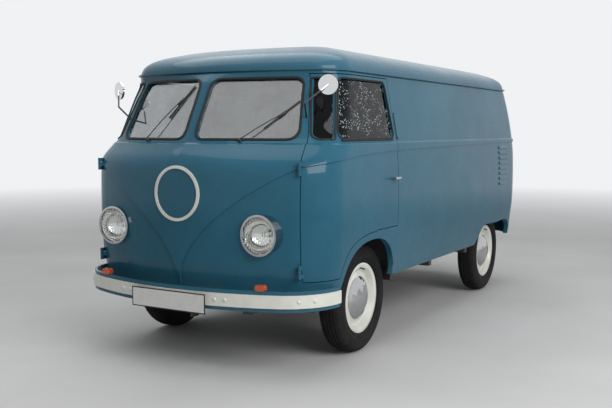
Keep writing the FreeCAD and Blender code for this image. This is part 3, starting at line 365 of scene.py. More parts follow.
def rounded_block(work, low, high, radius, segments):
    """Box between two corners with its edges rounded."""
    made = bmesh.ops.create_cube(work, size=1.0)["verts"]
    size = Vector(high) - Vector(low)
    middle = (Vector(high) + Vector(low)) / 2
    for vert in made:
        vert.co = middle + vert.co * size
    bmesh.ops.bevel(work, geom=list(work.edges), offset=radius, segments=segments, affect="EDGES",
                    profile=0.5)


# Finishes

def start_material(name, colour, metallic=0.0, roughness=0.5, coat=0.0, coat_roughness=0.08, specular=0.5):
    material = bpy.data.materials.new(name)
    material.use_nodes = True
    shader = shader_of(material)
    shader.inputs["Base Color"].default_value = (*colour, 1.0)
    shader.inputs["Metallic"].default_value = metallic
    shader.inputs["Roughness"].default_value = roughness
    shader.inputs["Coat Weight"].default_value = coat
    shader.inputs["Coat Roughness"].default_value = coat_roughness
    shader.inputs["Specular IOR Level"].default_value = specular
    return material


def shader_of(material):
    return material.node_tree.nodes["Principled BSDF"]


def node(material, kind):
    return material.node_tree.nodes.new(kind)


def wire(material, source, target):
    material.node_tree.links.new(source, target)


def places(material):
    return node(material, "ShaderNodeTexCoord").outputs["Object"]


def noise(material, scale, detail, roughness=0.55):
    made = node(material, "ShaderNodeTexNoise")
    for socket, number in (("Scale", scale), ("Detail", detail), ("Roughness", roughness)):
        made.inputs[socket].default_value = number
    wire(material, places(material), made.inputs["Vector"])
    return made.outputs["Fac"]


def spread(material, value, low_in, high_in, low_out, high_out):
    made = node(material, "ShaderNodeMapRange")
    for socket, number in zip(("From Min", "From Max", "To Min", "To Max"),
                              (low_in, high_in, low_out, high_out)):
        made.inputs[socket].default_value = number
    wire(material, value, made.inputs["Value"])
    return made.outputs["Result"]


def mixed(material, amount, first, second):
    made = node(material, "ShaderNodeMix")
    made.data_type = "RGBA"
    wire(material, amount, made.inputs["Factor"])
    for socket, value in ((made.inputs[6], first), (made.inputs[7], second)):
        if isinstance(value, bpy.types.NodeSocket):
            wire(material, value, socket)
        else:
            socket.default_value = (*value, 1.0)
    return made.outputs[2]


def sum_of(material, first, second, operation="ADD"):
    made = node(material, "ShaderNodeMath")
    made.operation = operation
    made.use_clamp = True
    for socket, value in ((made.inputs[0], first), (made.inputs[1], second)):
        if isinstance(value, bpy.types.NodeSocket):
            wire(material, value, socket)
        else:
            socket.default_value = value
    return made.outputs["Value"]


def height_of(material):
    made = node(material, "ShaderNodeSeparateXYZ")
    wire(material, places(material), made.inputs["Vector"])
    return made.outputs["Z"]


def set_colour(material, colour):
    wire(material, colour, shader_of(material).inputs["Base Color"])


def set_roughness(material, value):
    wire(material, value, shader_of(material).inputs["Roughness"])


def set_bump(material, value, strength, distance):
    made = node(material, "ShaderNodeBump")
    made.inputs["Strength"].default_value = strength
    made.inputs["Distance"].default_value = distance
    wire(material, value, made.inputs["Height"])
    wire(material, made.outputs["Normal"], shader_of(material).inputs["Normal"])


def mottled(material, scale, detail, low, high, first, second):
    """The first colour with clouds of the second."""
    return mixed(material, spread(material, noise(material, scale, detail), low, high, 0.0, 1.0), first,
                 second)


def vary_roughness(material, scale, detail, low_in, high_in, low, high):
    set_roughness(material, spread(material, noise(material, scale, detail), low_in, high_in, low, high))


def make_uneven(material, scale, detail, strength, distance):
    set_bump(material, noise(material, scale, detail), strength, distance)


def stripes(material, scale, distortion=0.0):
    """Bands across X."""
    made = node(material, "ShaderNodeTexWave")
    made.inputs["Scale"].default_value = scale
    made.inputs["Distortion"].default_value = distortion
    wire(material, places(material), made.inputs["Vector"])
    return made.outputs["Fac"]


def dusty(material, base, dust, low, high, most):
    """Base colour that turns to dust towards the ground, in uneven patches."""
    climb = spread(material, height_of(material), low, high, most, 0.0)
    patchy = sum_of(material, climb, spread(material, noise(material, 9.0, 6.0), 0.35, 0.7, 0.25, 1.0),
                    "MULTIPLY")
    return mixed(material, patchy, base, dust)


def body_paint(colours):
    material = start_material("body_paint", colours.body, roughness=0.28, coat=0.32, coat_roughness=0.015,
                              specular=0.07)
    shade = mottled(material, 1.6, 5.0, 0.38, 0.64, tuple(colours.body), tuple(colours.body_faded))
    # The crown of the roof is painted paler towards the top: a painted sky reflection
    lightened = spread(material, height_of(material), 1.66, 1.84, 0.0, 0.75)
    shade = mixed(material, lightened, shade, tuple(colours.roof_sky_reflection))
    set_colour(material, dusty(material, shade, tuple(colours.dust), 0.30, 0.62, 0.22))
    vary_roughness(material, 5.0, 7.0, 0.3, 0.7, 0.22, 0.34)
    make_uneven(material, 1.7, 1.0, 0.10, 0.010)
    return material


def ivory_paint(colours):
    material = start_material("ivory_paint", colours.ivory, roughness=0.34, coat=0.4, coat_roughness=0.12)
    worn = tuple(value * 0.92 for value in colours.ivory)
    shade = mottled(material, 14.0, 6.0, 0.42, 0.66, tuple(colours.ivory), worn)
    set_colour(material, dusty(material, shade, tuple(colours.dust), 0.05, 0.40, 0.30))
    vary_roughness(material, 20.0, 5.0, 0.3, 0.7, 0.26, 0.46)
    make_uneven(material, 60.0, 3.0, 0.05, 0.002)
    return material


def dull_paint(name, colour, worn, scale, roughness):
    material = start_material(name, colour, roughness=roughness)
    set_colour(material, mottled(material, scale, 7.0, 0.45, 0.70, colour, worn))
    vary_roughness(material, scale * 2, 4.0, 0.3, 0.7, roughness - 0.1, roughness + 0.15)
    make_uneven(material, scale * 8, 4.0, 0.12, 0.003)
    return material


def bordered_plate(middle_z, half_long, half_high):
    """White plate with a thin black border."""
    material = dull_paint("plate_paint", (0.66, 0.66, 0.645), (0.61, 0.61, 0.59), 18.0, 0.30)
    tree = material.node_tree
    away = tree.nodes.new("ShaderNodeVectorMath")
    away.operation = "SUBTRACT"
    away.inputs[1].default_value = (0.0, 0.0, middle_z)
    wire(material, places(material), away.inputs[0])
    folded = tree.nodes.new("ShaderNodeVectorMath")
    folded.operation = "ABSOLUTE"
    wire(material, away.outputs["Vector"], folded.inputs[0])
    apart = tree.nodes.new("ShaderNodeSeparateXYZ")
    wire(material, folded.outputs["Vector"], apart.inputs["Vector"])
    across = spread(material, apart.outputs["X"], half_long - 0.0065, half_long - 0.0060, 0.0, 1.0)
    upward = spread(material, apart.outputs["Z"], half_high - 0.0065, half_high - 0.0060, 0.0, 1.0)
    field = tree.nodes["Principled BSDF"].inputs["Base Color"].links[0].from_socket
    set_colour(material, mixed(material, sum_of(material, across, upward, "MAXIMUM"), field,
                               (0.012, 0.012, 0.012)))
    return material


def bright_metal(name, colour, roughness):
    material = start_material(name, colour, metallic=1.0, roughness=roughness)
    dim = tuple(value * 0.90 for value in colour)
    set_colour(material, mottled(material, 22.0, 6.0, 0.50, 0.72, colour, dim))
    vary_roughness(material, 30.0, 6.0, 0.35, 0.75, roughness, roughness + 0.08)
    make_uneven(material, 14.0, 2.0, 0.05, 0.002)
    return material


def rubber(name, shade, scale):
    colour = (shade, shade, shade * 1.02)
    material = start_material(name, colour, roughness=0.62, specular=0.35)
    set_colour(material, mottled(material, scale, 6.0, 0.45, 0.7, colour,
                                 (shade * 2.1, shade * 2.0, shade * 1.8)))
    vary_roughness(material, scale * 2, 5.0, 0.3, 0.7, 0.52, 0.78)
    make_uneven(material, scale * 9, 3.0, 0.10, 0.001)
    return material


def tyre_rubber(colours):
    material = start_material("tyre_rubber", (0.010, 0.010, 0.011), roughness=0.72, specular=0.18)
    shade = mottled(material, 26.0, 7.0, 0.40, 0.70, (0.005, 0.005, 0.006), (0.009, 0.009, 0.009))
    set_colour(material, dusty(material, shade, tuple(colours.dust), 0.0, 0.10, 0.07))
    vary_roughness(material, 40.0, 5.0, 0.3, 0.7, 0.62, 0.86)
    make_uneven(material, 180.0, 3.0, 0.12, 0.001)
    return material


def pane(name, tint, mirror_like):
    """Glass that lets the tint through; a higher coat index gives a brighter reflection."""
    material = start_material(name, tint, roughness=0.02)
    shader = shader_of(material)
    shader.inputs["Transmission Weight"].default_value = 1.0
    shader.inputs["IOR"].default_value = 1.08
    shader.inputs["Coat Weight"].default_value = 1.0
    shader.inputs["Coat Roughness"].default_value = 0.01
    shader.inputs["Coat IOR"].default_value = mirror_like
    smeared = tuple(value * 0.7 for value in tint)
    set_colour(material, mottled(material, 5.0, 7.0, 0.40, 0.68, tint, smeared))
    vary_roughness(material, 6.0, 5.0, 0.45, 0.8, 0.0, 0.05)
    make_uneven(material, 3.0, 1.0, 0.04, 0.004)
    return material


# The leaning bar between quarter light and door window; the drops lie behind it
BAR_LEAN = 0.387
BAR_PLACE = -2.027


def wet_pane(tint):
    """Dark door glass with the drops and streaks that the photograph shows on it."""
    material = pane("door_glass", tint, 1.22)
    drops = node(material, "ShaderNodeTexVoronoi")
    drops.inputs["Scale"].default_value = 80.0
    wire(material, places(material), drops.inputs["Vector"])
    mask = sum_of(material, spread(material, drops.outputs["Distance"], 0.24, 0.36, 1.0, 0.0),
                  spread(material, noise(material, 11.0, 5.0), 0.45, 0.55, 0.0, 1.0), "MULTIPLY")
    behind_bar = node(material, "ShaderNodeVectorMath")
    behind_bar.operation = "DOT_PRODUCT"
    behind_bar.inputs[1].default_value = (0.0, 1.0, -BAR_LEAN)
    wire(material, places(material), behind_bar.inputs[0])
    window_side = spread(material, behind_bar.outputs["Value"], BAR_PLACE - 0.001, BAR_PLACE + 0.001, 0.0,
                         1.0)
    mask = sum_of(material, mask, window_side, "MULTIPLY")
    # The drops are real and bumped; their near-white colour is a painted glint on each drop
    set_colour(material, mixed(material, mask, tint, (0.74, 0.80, 0.83)))
    wire(material, spread(material, mask, 0.0, 1.0, 1.0, 0.45),
         shader_of(material).inputs["Transmission Weight"])
    set_bump(material, mask, 0.3, 0.001)
    return material


MIRROR_HEAD = (0.754, -1.560, 1.605)


def mirror_metal(head):
    """Bright round head at the given height, black arm below it."""
    material = bright_metal("mirror_metal", (0.70, 0.70, 0.71), 0.03)
    tree = material.node_tree
    apart = tree.nodes.new("ShaderNodeSeparateXYZ")
    wire(material, places(material), apart.inputs["Vector"])
    sideways = tree.nodes.new("ShaderNodeMath")
    sideways.operation = "ABSOLUTE"
    wire(material, apart.outputs["X"], sideways.inputs[0])
    folded = tree.nodes.new("ShaderNodeCombineXYZ")
    for source, target in ((sideways.outputs[0], "X"), (apart.outputs["Y"], "Y"), (apart.outputs["Z"], "Z")):
        wire(material, source, folded.inputs[target])
    away = tree.nodes.new("ShaderNodeVectorMath")
    away.operation = "DISTANCE"
    away.inputs[1].default_value = head
    wire(material, folded.outputs["Vector"], away.inputs[0])
    arm = spread(material, away.outputs["Value"], 0.0595, 0.0605, 0.0, 1.0)
    set_colour(material, mixed(material, arm, (0.70, 0.70, 0.71), (0.012, 0.012, 0.013)))
    wire(material, spread(material, arm, 0.0, 1.0, 1.0, 0.0),
         tree.nodes["Principled BSDF"].inputs["Metallic"])
    set_roughness(material, spread(material, arm, 0.0, 1.0, 0.05, 0.38))
    return material


def lamp_glass():
    material = start_material("lamp_glass", (0.90, 0.92, 0.92), roughness=0.04)
    shader = shader_of(material)
    shader.inputs["Transmission Weight"].default_value = 1.0
    shader.inputs["IOR"].default_value = 1.3
    set_bump(material, stripes(material, 26.0), 0.45, 0.003)
    return material


def lens_plastic(name, colour):
    material = start_material(name, colour, roughness=0.12, coat=0.8, coat_roughness=0.05)
    shader = shader_of(material)
    shader.inputs["Subsurface Weight"].default_value = 0.25
    shader.inputs["Subsurface Radius"].default_value = (0.010, 0.004, 0.002)
    dark = tuple(value * 0.55 for value in colour)
    set_colour(material, mixed(material, stripes(material, 42.0), colour, dark))
    set_bump(material, stripes(material, 42.0), 0.35, 0.002)
    return material


def leathercloth(colours):
    material = start_material("seat_cloth", colours.seat, roughness=0.5)
    grain = node(material, "ShaderNodeTexVoronoi")
    grain.inputs["Scale"].default_value = 420.0
    wire(material, places(material), grain.inputs["Vector"])
    worn = tuple(value * 1.9 for value in colours.seat)
    set_colour(material, mottled(material, 7.0, 6.0, 0.45, 0.75, tuple(colours.seat), worn))
    vary_roughness(material, 16.0, 4.0, 0.3, 0.7, 0.38, 0.6)
    set_bump(material, grain.outputs["Distance"], 0.25, 0.0012)
    return material


def trim_board(colours):
    material = start_material("trim_board", colours.trim, roughness=0.7)
    dull = tuple(value * 0.7 for value in colours.trim)
    set_colour(material, mottled(material, 12.0, 6.0, 0.4, 0.7, tuple(colours.trim), dull))
    vary_roughness(material, 30.0, 3.0, 0.3, 0.7, 0.6, 0.8)
    make_uneven(material, 320.0, 2.0, 0.15, 0.001)
    return material


def floor_boards():
    material = start_material("floor_boards", (0.20, 0.125, 0.065), roughness=0.62)
    grain = stripes(material, 9.0, 9.0)
    set_colour(material, mixed(material, grain, (0.23, 0.15, 0.085), (0.12, 0.072, 0.038)))
    vary_roughness(material, 25.0, 4.0, 0.3, 0.7, 0.5, 0.75)
    set_bump(material, grain, 0.15, 0.001)
    return material


class VAN_OT_finishes(bpy.types.Operator):
    """Gives every part of the frame its finish"""

    bl_idname = "van.finishes"
    bl_label = "Finishes"

    def execute(self, context):
        colours = context.scene.van_colours
        # The frame brings plain finishes under the same names; they step aside first
        for plain in list(bpy.data.materials):
            plain.name = "plain_" + plain.name
        made = {
            "body_paint": body_paint(colours),
            "ivory_paint": ivory_paint(colours),
            "plate_paint": bordered_plate(0.410, 0.258, 0.056),
            "floor_paint": dull_paint("floor_paint", (0.075, 0.085, 0.09), (0.13, 0.125, 0.11), 6.0, 0.55),
            "frame_paint": dull_paint("frame_paint", (0.022, 0.022, 0.023), (0.075, 0.06, 0.05), 8.0, 0.5),
            "window_glass": pane("screen_glass", (0.62, 0.66, 0.65), 2.75),
            "lamp_glass": lamp_glass(),
            "amber_lens": lens_plastic("amber_lens", (0.72, 0.10, 0.012)),
            "red_lens": lens_plastic("red_lens", (0.50, 0.012, 0.012)),
            "cast_casing": dull_paint("cast_casing", (0.30, 0.30, 0.30), (0.12, 0.105, 0.09), 9.0, 0.5),
            "exhaust_steel": dull_paint("exhaust_steel", (0.13, 0.11, 0.10), (0.22, 0.10, 0.05), 12.0, 0.6),
            "bright_trim": bright_metal("bright_trim", (0.52, 0.52, 0.53), 0.03),
            "black_metal": dull_paint("black_metal", (0.016, 0.016, 0.017), (0.04, 0.04, 0.04), 40.0, 0.4),
            "dark_plastic": dull_paint("dark_plastic", (0.03, 0.03, 0.031), (0.055, 0.053, 0.05), 30.0, 0.35),
            "seat_cloth": leathercloth(colours),
            "tyre_rubber": tyre_rubber(colours),
        }
        for row in frame["record"]["subparts"]:
            piece = frame["nodes"][row["node"]]
            piece.data.materials.clear()
            piece.data.materials.append(made[row["material_slot"]])
        # The door glass is tinted near black: painted shade of the cab seen through it
        dark = wet_pane((0.035, 0.055, 0.068))
        for name in SIDES:
            frame["nodes"]["door_glass_" + name].data.materials[0] = dark
        frame["nodes"]["mirrors"].data.materials[0] = mirror_metal(MIRROR_HEAD)
        rubber("seal_rubber", 0.006, 30.0)
        rubber("mat_rubber", 0.02, 18.0)
        bright_metal("reflector_silver", (0.74, 0.73, 0.70), 0.05)
        trim_board(colours)
        floor_boards()
        return {"FINISHED"}


# Window rubbers

SCREEN = ((0.042, 1.310), (0.624, 1.310), (0.562, 1.646), (0.042, 1.646))
QUARTER_LIGHT = ((-1.630, 1.310), (-1.538, 1.310), (-1.408, 1.646), (-1.486, 1.646))
DOOR_LIGHT = ((-1.514, 1.310), (-0.820, 1.310), (-0.844, 1.646), (-1.384, 1.646))
REAR_LIGHT = ((-0.420, 1.310), (0.420, 1.310), (0.420, 1.616), (-0.420, 1.616))
CARGO_OPENING = ((-0.560, 0.500), (0.640, 0.500), (0.640, 1.610), (-0.560, 1.610))


def seal_profile(width, rise):
    half = width / 2
    return [(-half, -0.004), (-half, rise * 0.35), (-half * 0.72, rise * 0.85), (-half * 0.25, rise),
            (half * 0.1, rise * 0.72), (half * 0.35, rise * 0.95), (half * 0.8, rise * 0.7), (half, -0.002)]


def add_seal(name, nodes, corners, radius, grow, width, rise, ray, body):
    outline = rounded_outline(corners, radius, grow)
    path, normals = cast_path(nodes, outline, ray)

    def make(work):
        sweep(work, path, normals, seal_profile(width, rise), True)
    return new_piece(name, make, "seal_rubber", body)


def mirrored_corners(corners):
    return tuple((-x, z) for x, z in corners)


class VAN_OT_window_rubbers(bpy.types.Operator):
    """Lays a rubber round each pane and behind the seams of the cargo doors"""

    bl_idname = "van.window_rubbers"
    bl_label = "Window rubbers"

    def execute(self, context):
        sizes = context.scene.van_sizes
        width = sizes.seal_width
        narrow = sizes.door_seal_width
        rise = sizes.seal_rise
        for name, side in SIDES.items():
            corners = SCREEN if side > 0 else mirrored_corners(SCREEN)
            add_seal("screen_rubber_" + name, ["nose_panel"], corners, 0.055, width * 0.36, width, rise,
                     from_front,
                     "body")
            door = "door_" + name
            body = name + "_door"
            add_seal("quarter_rubber_" + name, [door], QUARTER_LIGHT, 0.020, narrow * 0.45, narrow,
                     rise * 0.7,
                     from_side(side), body)
            add_seal("door_rubber_" + name, [door], DOOR_LIGHT, 0.036, narrow * 0.45, narrow, rise * 0.7,
                     from_side(side), body)
        add_seal("rear_rubber", ["tail_panel"], REAR_LIGHT, 0.070, width * 0.36, width, rise, from_back,
                 "body")
        self.seam_strip()
        return {"FINISHED"}

    def seam_strip(self):
        """Rubber on the frame of the cargo opening; the leaves close against it."""
        outline = rounded_outline(CARGO_OPENING, 0.050, -0.010)
        path, normals = cast_path(["cargo_door_front", "cargo_door_rear"], outline, from_inside(-1.0))

        def make_strip(work):
            sweep(work, path, normals, [(-0.022, 0.001), (-0.022, 0.006), (0.022, 0.006), (0.022, 0.001)],
                  True)
        new_piece("cargo_opening_rubber", make_strip, "seal_rubber", "body")


# Tyres

TYRE_R = 0.335
TYRE_HALF = 0.075
RIM_R = 0.213


def tyre_section():
    """Half the section from bead to crown: (radius, distance from the middle)."""
    return [(RIM_R - 0.008, 0.050), (RIM_R + 0.002, 0.0555), (RIM_R + 0.010, 0.0605),
            (RIM_R + 0.0125, 0.0665),
            (RIM_R + 0.020, 0.0695), (RIM_R + 0.0225, 0.0705), (RIM_R + 0.0245, 0.0690), (RIM_R + 0.033,
                                                                                          0.0725),
            (RIM_R + 0.045, 0.0745), (RIM_R + 0.060, 0.0748), (RIM_R + 0.0615, 0.0735), (RIM_R + 0.066,
                                                                                         0.0735),
            (RIM_R + 0.0675, 0.0745), (RIM_R + 0.078, 0.0730), (RIM_R + 0.090, 0.0695), (RIM_R + 0.099,
                                                                                         0.0655),
            (RIM_R + 0.104, 0.0625)]


def make_tyre(work, depth, waves):
    side_wall = tyre_section()
    tread_half = 0.060
    columns = 60
    profile = [(r, -x) for r, x in side_wall]
    for column in range(columns + 1):
        x = -tread_half + 2 * tread_half * column / columns
        profile.append((TYRE_R - 0.0135 * (abs(x) / tread_half) ** 3, x))
    profile += [(r, x) for r, x in reversed(side_wall)]
    steps = waves * 8
    rings = []
    for step in range(steps):
        turn = tau * step / steps
        wave = abs((step % 8) - 4) / 4 - 0.5
        block = (step % 8) in (0, 1)
        ring = []
        for radius, x in profile:
            cut = 0.0
            if abs(x) <= tread_half and radius > TYRE_R - 0.02:
                for groove in (-0.034, -0.012, 0.012, 0.034):
                    if abs(x - groove - wave * 0.006) < 0.0026:
                        cut = depth
                if abs(x) > 0.046 and block:
                    cut = depth * 0.8
            ring.append(work.verts.new((x, (radius - cut) * cos(turn), (radius - cut) * sin(turn))))
        rings.append(ring)
    add_ring_faces(work, rings, True, closed_ring=True)


class VAN_OT_tyres(bpy.types.Operator):
    """Puts a treaded tyre in the place of each plain one"""

    bl_idname = "van.tyres"
    bl_label = "Tyres"

    def execute(self, context):
        sizes = context.scene.van_sizes
        shared = None
        for corner in CORNERS:
            low, high = box_of("tyre_" + corner)
            middle = (low + high) / 2
            name = "tyre_tread_" + corner
            mesh = shared
            if mesh is None:
                mesh = bpy.data.meshes.new("tyre_tread")
                work = bmesh.new()
                make_tyre(work, sizes.groove_depth, sizes.tread_waves)
                bmesh.ops.recalc_face_normals(work, faces=work.faces)
                work.to_mesh(mesh)
                work.free()
                mesh.materials.append(bpy.data.materials["tyre_rubber"])
                shared = mesh
            piece = bpy.data.objects.new(name, mesh)
            bpy.context.collection.objects.link(piece)
            piece.location = middle
            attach(piece, "wheel_" + corner)
            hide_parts("tyre_" + corner)
            side = 1.0 if corner.endswith("left") else -1.0

            def make_valve(work):
                base = middle + Vector((side * 0.050, 0.0, 0.186))
                lathe(work, [(0.0, -0.006), (0.006, -0.006), (0.0055, 0.006), (0.0035, 0.008),
                             (0.0035, 0.022),
                             (0.0045, 0.022), (0.0045, 0.030), (0.0,
                                                                0.031)], base, Vector((side, 0.0, -0.25)), 16)
            new_piece("valve_" + corner, make_valve, "seal_rubber", "wheel_" + corner)
        return {"FINISHED"}


# Lamps

class VAN_OT_lamps(bpy.types.Operator):
    """Fits a reflector and a bulb behind each headlamp glass and a screw in each rim"""

    bl_idname = "van.lamps"
    bl_label = "Lamps"

    def execute(self, context):
        low, high = box_of("headlamp_lenses")
        rim_front = box_of("headlamp_rims")[0].y
        clear = 0.002
        radius = (high.z - low.z) / 2 - clear
        middle_z = (high.z + low.z) / 2
        centre_x = high.x - radius - clear
        for name, side in SIDES.items():
            centre = Vector((side * centre_x, high.y + 0.010, middle_z))

            def make_bowl(work):
                deep = [(radius, 0.0), (radius * 0.97, 0.012), (radius * 0.88, 0.032), (radius * 0.72, 0.054),
                        (radius * 0.50, 0.071), (radius * 0.25, 0.081), (0.012, 0.084)]
                back = [(r + 0.0015, d + 0.002) for r, d in reversed(deep)]
                lathe(work, deep + back + [deep[0]], centre, BACKWARD, 64)
            new_piece("lamp_bowl_" + name, make_bowl, "reflector_silver", "body")

            def make_bulb(work):
                lathe(work, [(0.0, 0.030), (0.008, 0.032), (0.014, 0.040), (0.014, 0.050), (0.008, 0.060),
                             (0.008, 0.080), (0.0, 0.080)], centre, BACKWARD, 24)
            new_piece("lamp_bulb_" + name, make_bulb, "lamp_glass", "body")

            def make_screw(work):
                spot = Vector((side * (centre_x - 0.119), rim_front + 0.034, middle_z + 0.012))
                lathe(work, [(0.0, -0.016), (0.0065, -0.015), (0.008, -0.010), (0.008, 0.018),
                             (0.0, 0.018)], spot,
                      Vector((-side * 0.35, 1.0, 0.0)), 20)
            new_piece("rim_screw_" + name, make_screw, "bright_trim", "body")
        return {"FINISHED"}


# Outside fittings

class VAN_OT_outside_fittings(bpy.types.Operator):
    """Adds plate screws, bumper bolts, wipers, signal arms, window strips and the fuel flap"""

    bl_idname = "van.outside_fittings"
    bl_label = "Outside fittings"

    def execute(self, context):
        self.plate()
        self.bumper_bolts()
        wiper = self.wiper("left", (0.314, 1.296), (0.499, 1.440), (0.421, 1.363), (0.576, 1.518))
        self.wiper("right", (-0.355, 1.298), (-0.162, 1.520), (-0.228, 1.425), (-0.086, 1.612))
        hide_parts("wipers")
        for name, side in SIDES.items():
            self.signal_arm(name, side)
            self.window_strip(name, side)
        self.fuel_flap()
        return {"FINISHED"}

    def plate(self):
        low, high = box_of("number_plate")

        def make_screws(work):
            for x in (-0.19, 0.19):
                lathe(work, [(0.0, 0.0), (0.004, 0.0004), (0.0055, 0.0018), (0.0055, 0.004), (0.0, 0.004)],
                      Vector((x, low.y, (low.z + high.z) / 2)), BACKWARD, 18)
        new_piece("plate_screws", make_screws, "bright_trim", "body")

    def bumper_bolts(self):
        def make_bolts(work):
            for x in (-0.80, -0.74, -0.36, -0.30, 0.30, 0.36, 0.74, 0.80):
                place, normal = hit(["bumper_band"], Vector((x, -3.0, 0.438)), BACKWARD)
                lathe(work, [(0.011, -0.001), (0.0105, 0.002), (0.0075, 0.0042), (0.004, 0.0052),
                             (0.0, 0.0055)],
                      place, normal, 24)
        new_piece("bumper_bolts", make_bolts, "ivory_paint", "body")

    def wiper(self, name, pivot, joint, low_end, high_end):
        """Arm from its pivot to the joint on the blade, and the blade between its ends."""
        nodes = ["nose_panel", "fixed_glass"]

        def make_wiper(work):
            foot, out = hit(nodes, *from_front(Vector(pivot)))
            lathe(work, [(0.0, -0.002), (0.012, -0.002), (0.011, 0.006), (0.007, 0.010), (0.007, 0.018),
                         (0.0, 0.020)], foot, out, 24)
            pane_place, held_out = hit(nodes, *from_front(Vector(joint)))
            held = pane_place + held_out * 0.012
            middle = (foot + held) / 2 + out * 0.013
            tube(work, [foot + out * 0.014, middle, held + held_out * 0.002], 0.0030)
            path, normals = line_on(nodes, low_end, high_end, 12, from_front)
            sweep(work, path, normals, [(-0.0008, 0.0005), (-0.003, 0.006), (-0.003, 0.009), (0.003, 0.009),
                                        (0.003, 0.006), (0.0008, 0.0005)], False)
            along = (path[-1] - path[0]).normalized()
            sweep(work, [held - along * 0.028, held + along * 0.028], [held_out, held_out],
                  [(-0.005, -0.006), (-0.005, 0.001), (0.005, 0.001), (0.005, -0.006)], False)
        return new_piece("wiper_" + name, make_wiper, "black_metal", "body")

    def signal_arm(self, name, side):
        nodes = ["side_panel_" + name]
        front = -0.775
        corners = ((front, 1.300), (front + 0.026, 1.300), (front + 0.026, 1.464), (front, 1.464))

        # A black sheet round the arm, flush with the panel: painted shade of the recess the arm folds into
        def make_recess_shade(work):
            laid_sheet(work, nodes, corners, from_side(side), -0.001, 0.0022, 4, 12)
        new_piece("signal_slot_" + name, make_recess_shade, "seal_rubber", "body")
        inner = ((front + 0.005, 1.310), (front + 0.021, 1.310), (front + 0.021, 1.454),
                 (front + 0.005, 1.454))

        def make_arm(work):
            laid_sheet(work, nodes, inner, from_side(side), 0.001, 0.004, 4, 12)
        arm = new_piece("signal_arm_" + name, make_arm, "body_paint", "body")
        bevelled(arm, 0.0015)

    def window_strip(self, name, side):
        door = "door_" + name

        def make_strip(work):
            path, normals = line_on([door], (-1.500, 1.2985), (-0.835, 1.2985), 40, from_side(side))
            sweep(work, path, normals, [(-0.006, -0.003), (-0.006, 0.004), (-0.002, 0.006), (0.003, 0.006),
                                        (0.006, 0.002), (0.006, -0.003)], False)
        new_piece("window_strip_" + name, make_strip, "seal_rubber", name + "_door")

    def fuel_flap(self):
        corners = ((1.05, 0.98), (1.19, 0.98), (1.19, 1.12), (1.05, 1.12))

        def make_flap(work):
            laid_sheet(work, ["side_panel_right"], corners, from_side(-1.0), -0.001, 0.0025, 8, 8)
        flap = new_piece("fuel_flap", make_flap, "body_paint", "body")
        bevelled(flap, 0.0015)


# Cab

class VAN_OT_bench(bpy.types.Operator):
    """Makes the padded bench: each pad is blown up as cloth, then gets its sewn channels and piping"""

    bl_idname = "van.bench"
    bl_label = "Bench"

    def execute(self, context):
        pitch = context.scene.van_sizes.pleat_pitch
        low, high = box_of("seat_cushions")
        pads = {
            "bench_cushion": (Vector((low.x, low.y, low.z)),
                              Vector((high.x, high.y - 0.116, low.z + 0.120)), "z"),
            "bench_back": (Vector((low.x, high.y - 0.108, low.z + 0.004)), Vector((high.x, high.y, high.z)),
                           "y"),
        }
        replaced = False
        for name, (start, end, face) in pads.items():
            pad = self.pad(name, start, end, face, pitch)
            if not replaced:
                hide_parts("seat_cushions")
                replaced = True
            self.piping(name, start, end, face)
        return {"FINISHED"}

    def pad(self, name, start, end, face, pitch):
        room_to_swell = Vector((0.012, 0.012, 0.012))
        start = start + room_to_swell
        end = end - room_to_swell

        def make(work):
            rounded_block(work, start, end, 0.028, 4)
        piece = new_piece(name, make, "seat_cloth", "body")
        bpy.context.view_layer.objects.active = piece
        remesh = piece.modifiers.new("remesh", "REMESH")
        remesh.mode = "VOXEL"
        remesh.voxel_size = 0.0095
        bpy.ops.object.modifier_apply(modifier=remesh.name)
        rest = [vert.co.copy() for vert in piece.data.vertices]
        cloth = piece.modifiers.new("filling", "CLOTH")
        cloth.settings.use_pressure = True
        cloth.settings.uniform_pressure_force = 4.0
        cloth.settings.effector_weights.gravity = 0.0
        cloth.settings.quality = 5
        cloth.collision_settings.use_collision = False
        for step in range(1, 21):
            bpy.context.scene.frame_set(step)
        bpy.ops.object.modifier_apply(modifier=cloth.name)
        bpy.context.scene.frame_set(1)
        most_swell = 0.011
        channel_depth = 0.007
        channel_half = 0.14
        middle = (start + end) / 2
        for vert, old in zip(piece.data.vertices, rest):
            moved = vert.co - old
            if moved.length > most_swell:
                vert.co = old + moved.normalized() * most_swell
            place = vert.co - middle
            across = (vert.co.x / pitch) % 1.0
            channel = max(0.0, 1.0 - abs(across - 0.5) / channel_half)
            if face == "z" and place.z > 0.02:
                vert.co.z -= channel_depth * channel ** 2
            if face == "y" and place.y < -0.01:
                vert.co.y += channel_depth * channel ** 2
        smooth = piece.modifiers.new("smoother", "SUBSURF")
        smooth.levels = 1
        smooth.render_levels = 1
        for polygon in piece.data.polygons:
            polygon.use_smooth = True
        return piece

    def piping(self, name, start, end, face):
        """Cord round the top of the cushion or the front of the back."""
        inset = 0.016
        sunk = 0.020
        upright = face == "y"
        low = Vector((start.x, start.z if upright else start.y)) + Vector((inset, inset))
        high = Vector((end.x, end.z if upright else end.y)) - Vector((inset, inset))
        corners = (low, (high.x, low.y), high, (low.x, high.y))
        outline = rounded_outline(corners, 0.030, 0.006)
        if upright:
            path = [Vector((c.x, start.y + sunk, c.y)) for c in outline]
        else:
            path = [Vector((c.x, c.y, end.z - sunk)) for c in outline]
        out = -BACKWARD if upright else UPWARD

        def make(work):
            profile = [(0.004 * cos(tau * step / 10), 0.004 * sin(tau * step / 10)) for step in range(10)]
            sweep(work, path, [out] * len(path), profile, True)
        new_piece(name + "_piping", make, "trim_board", "body")


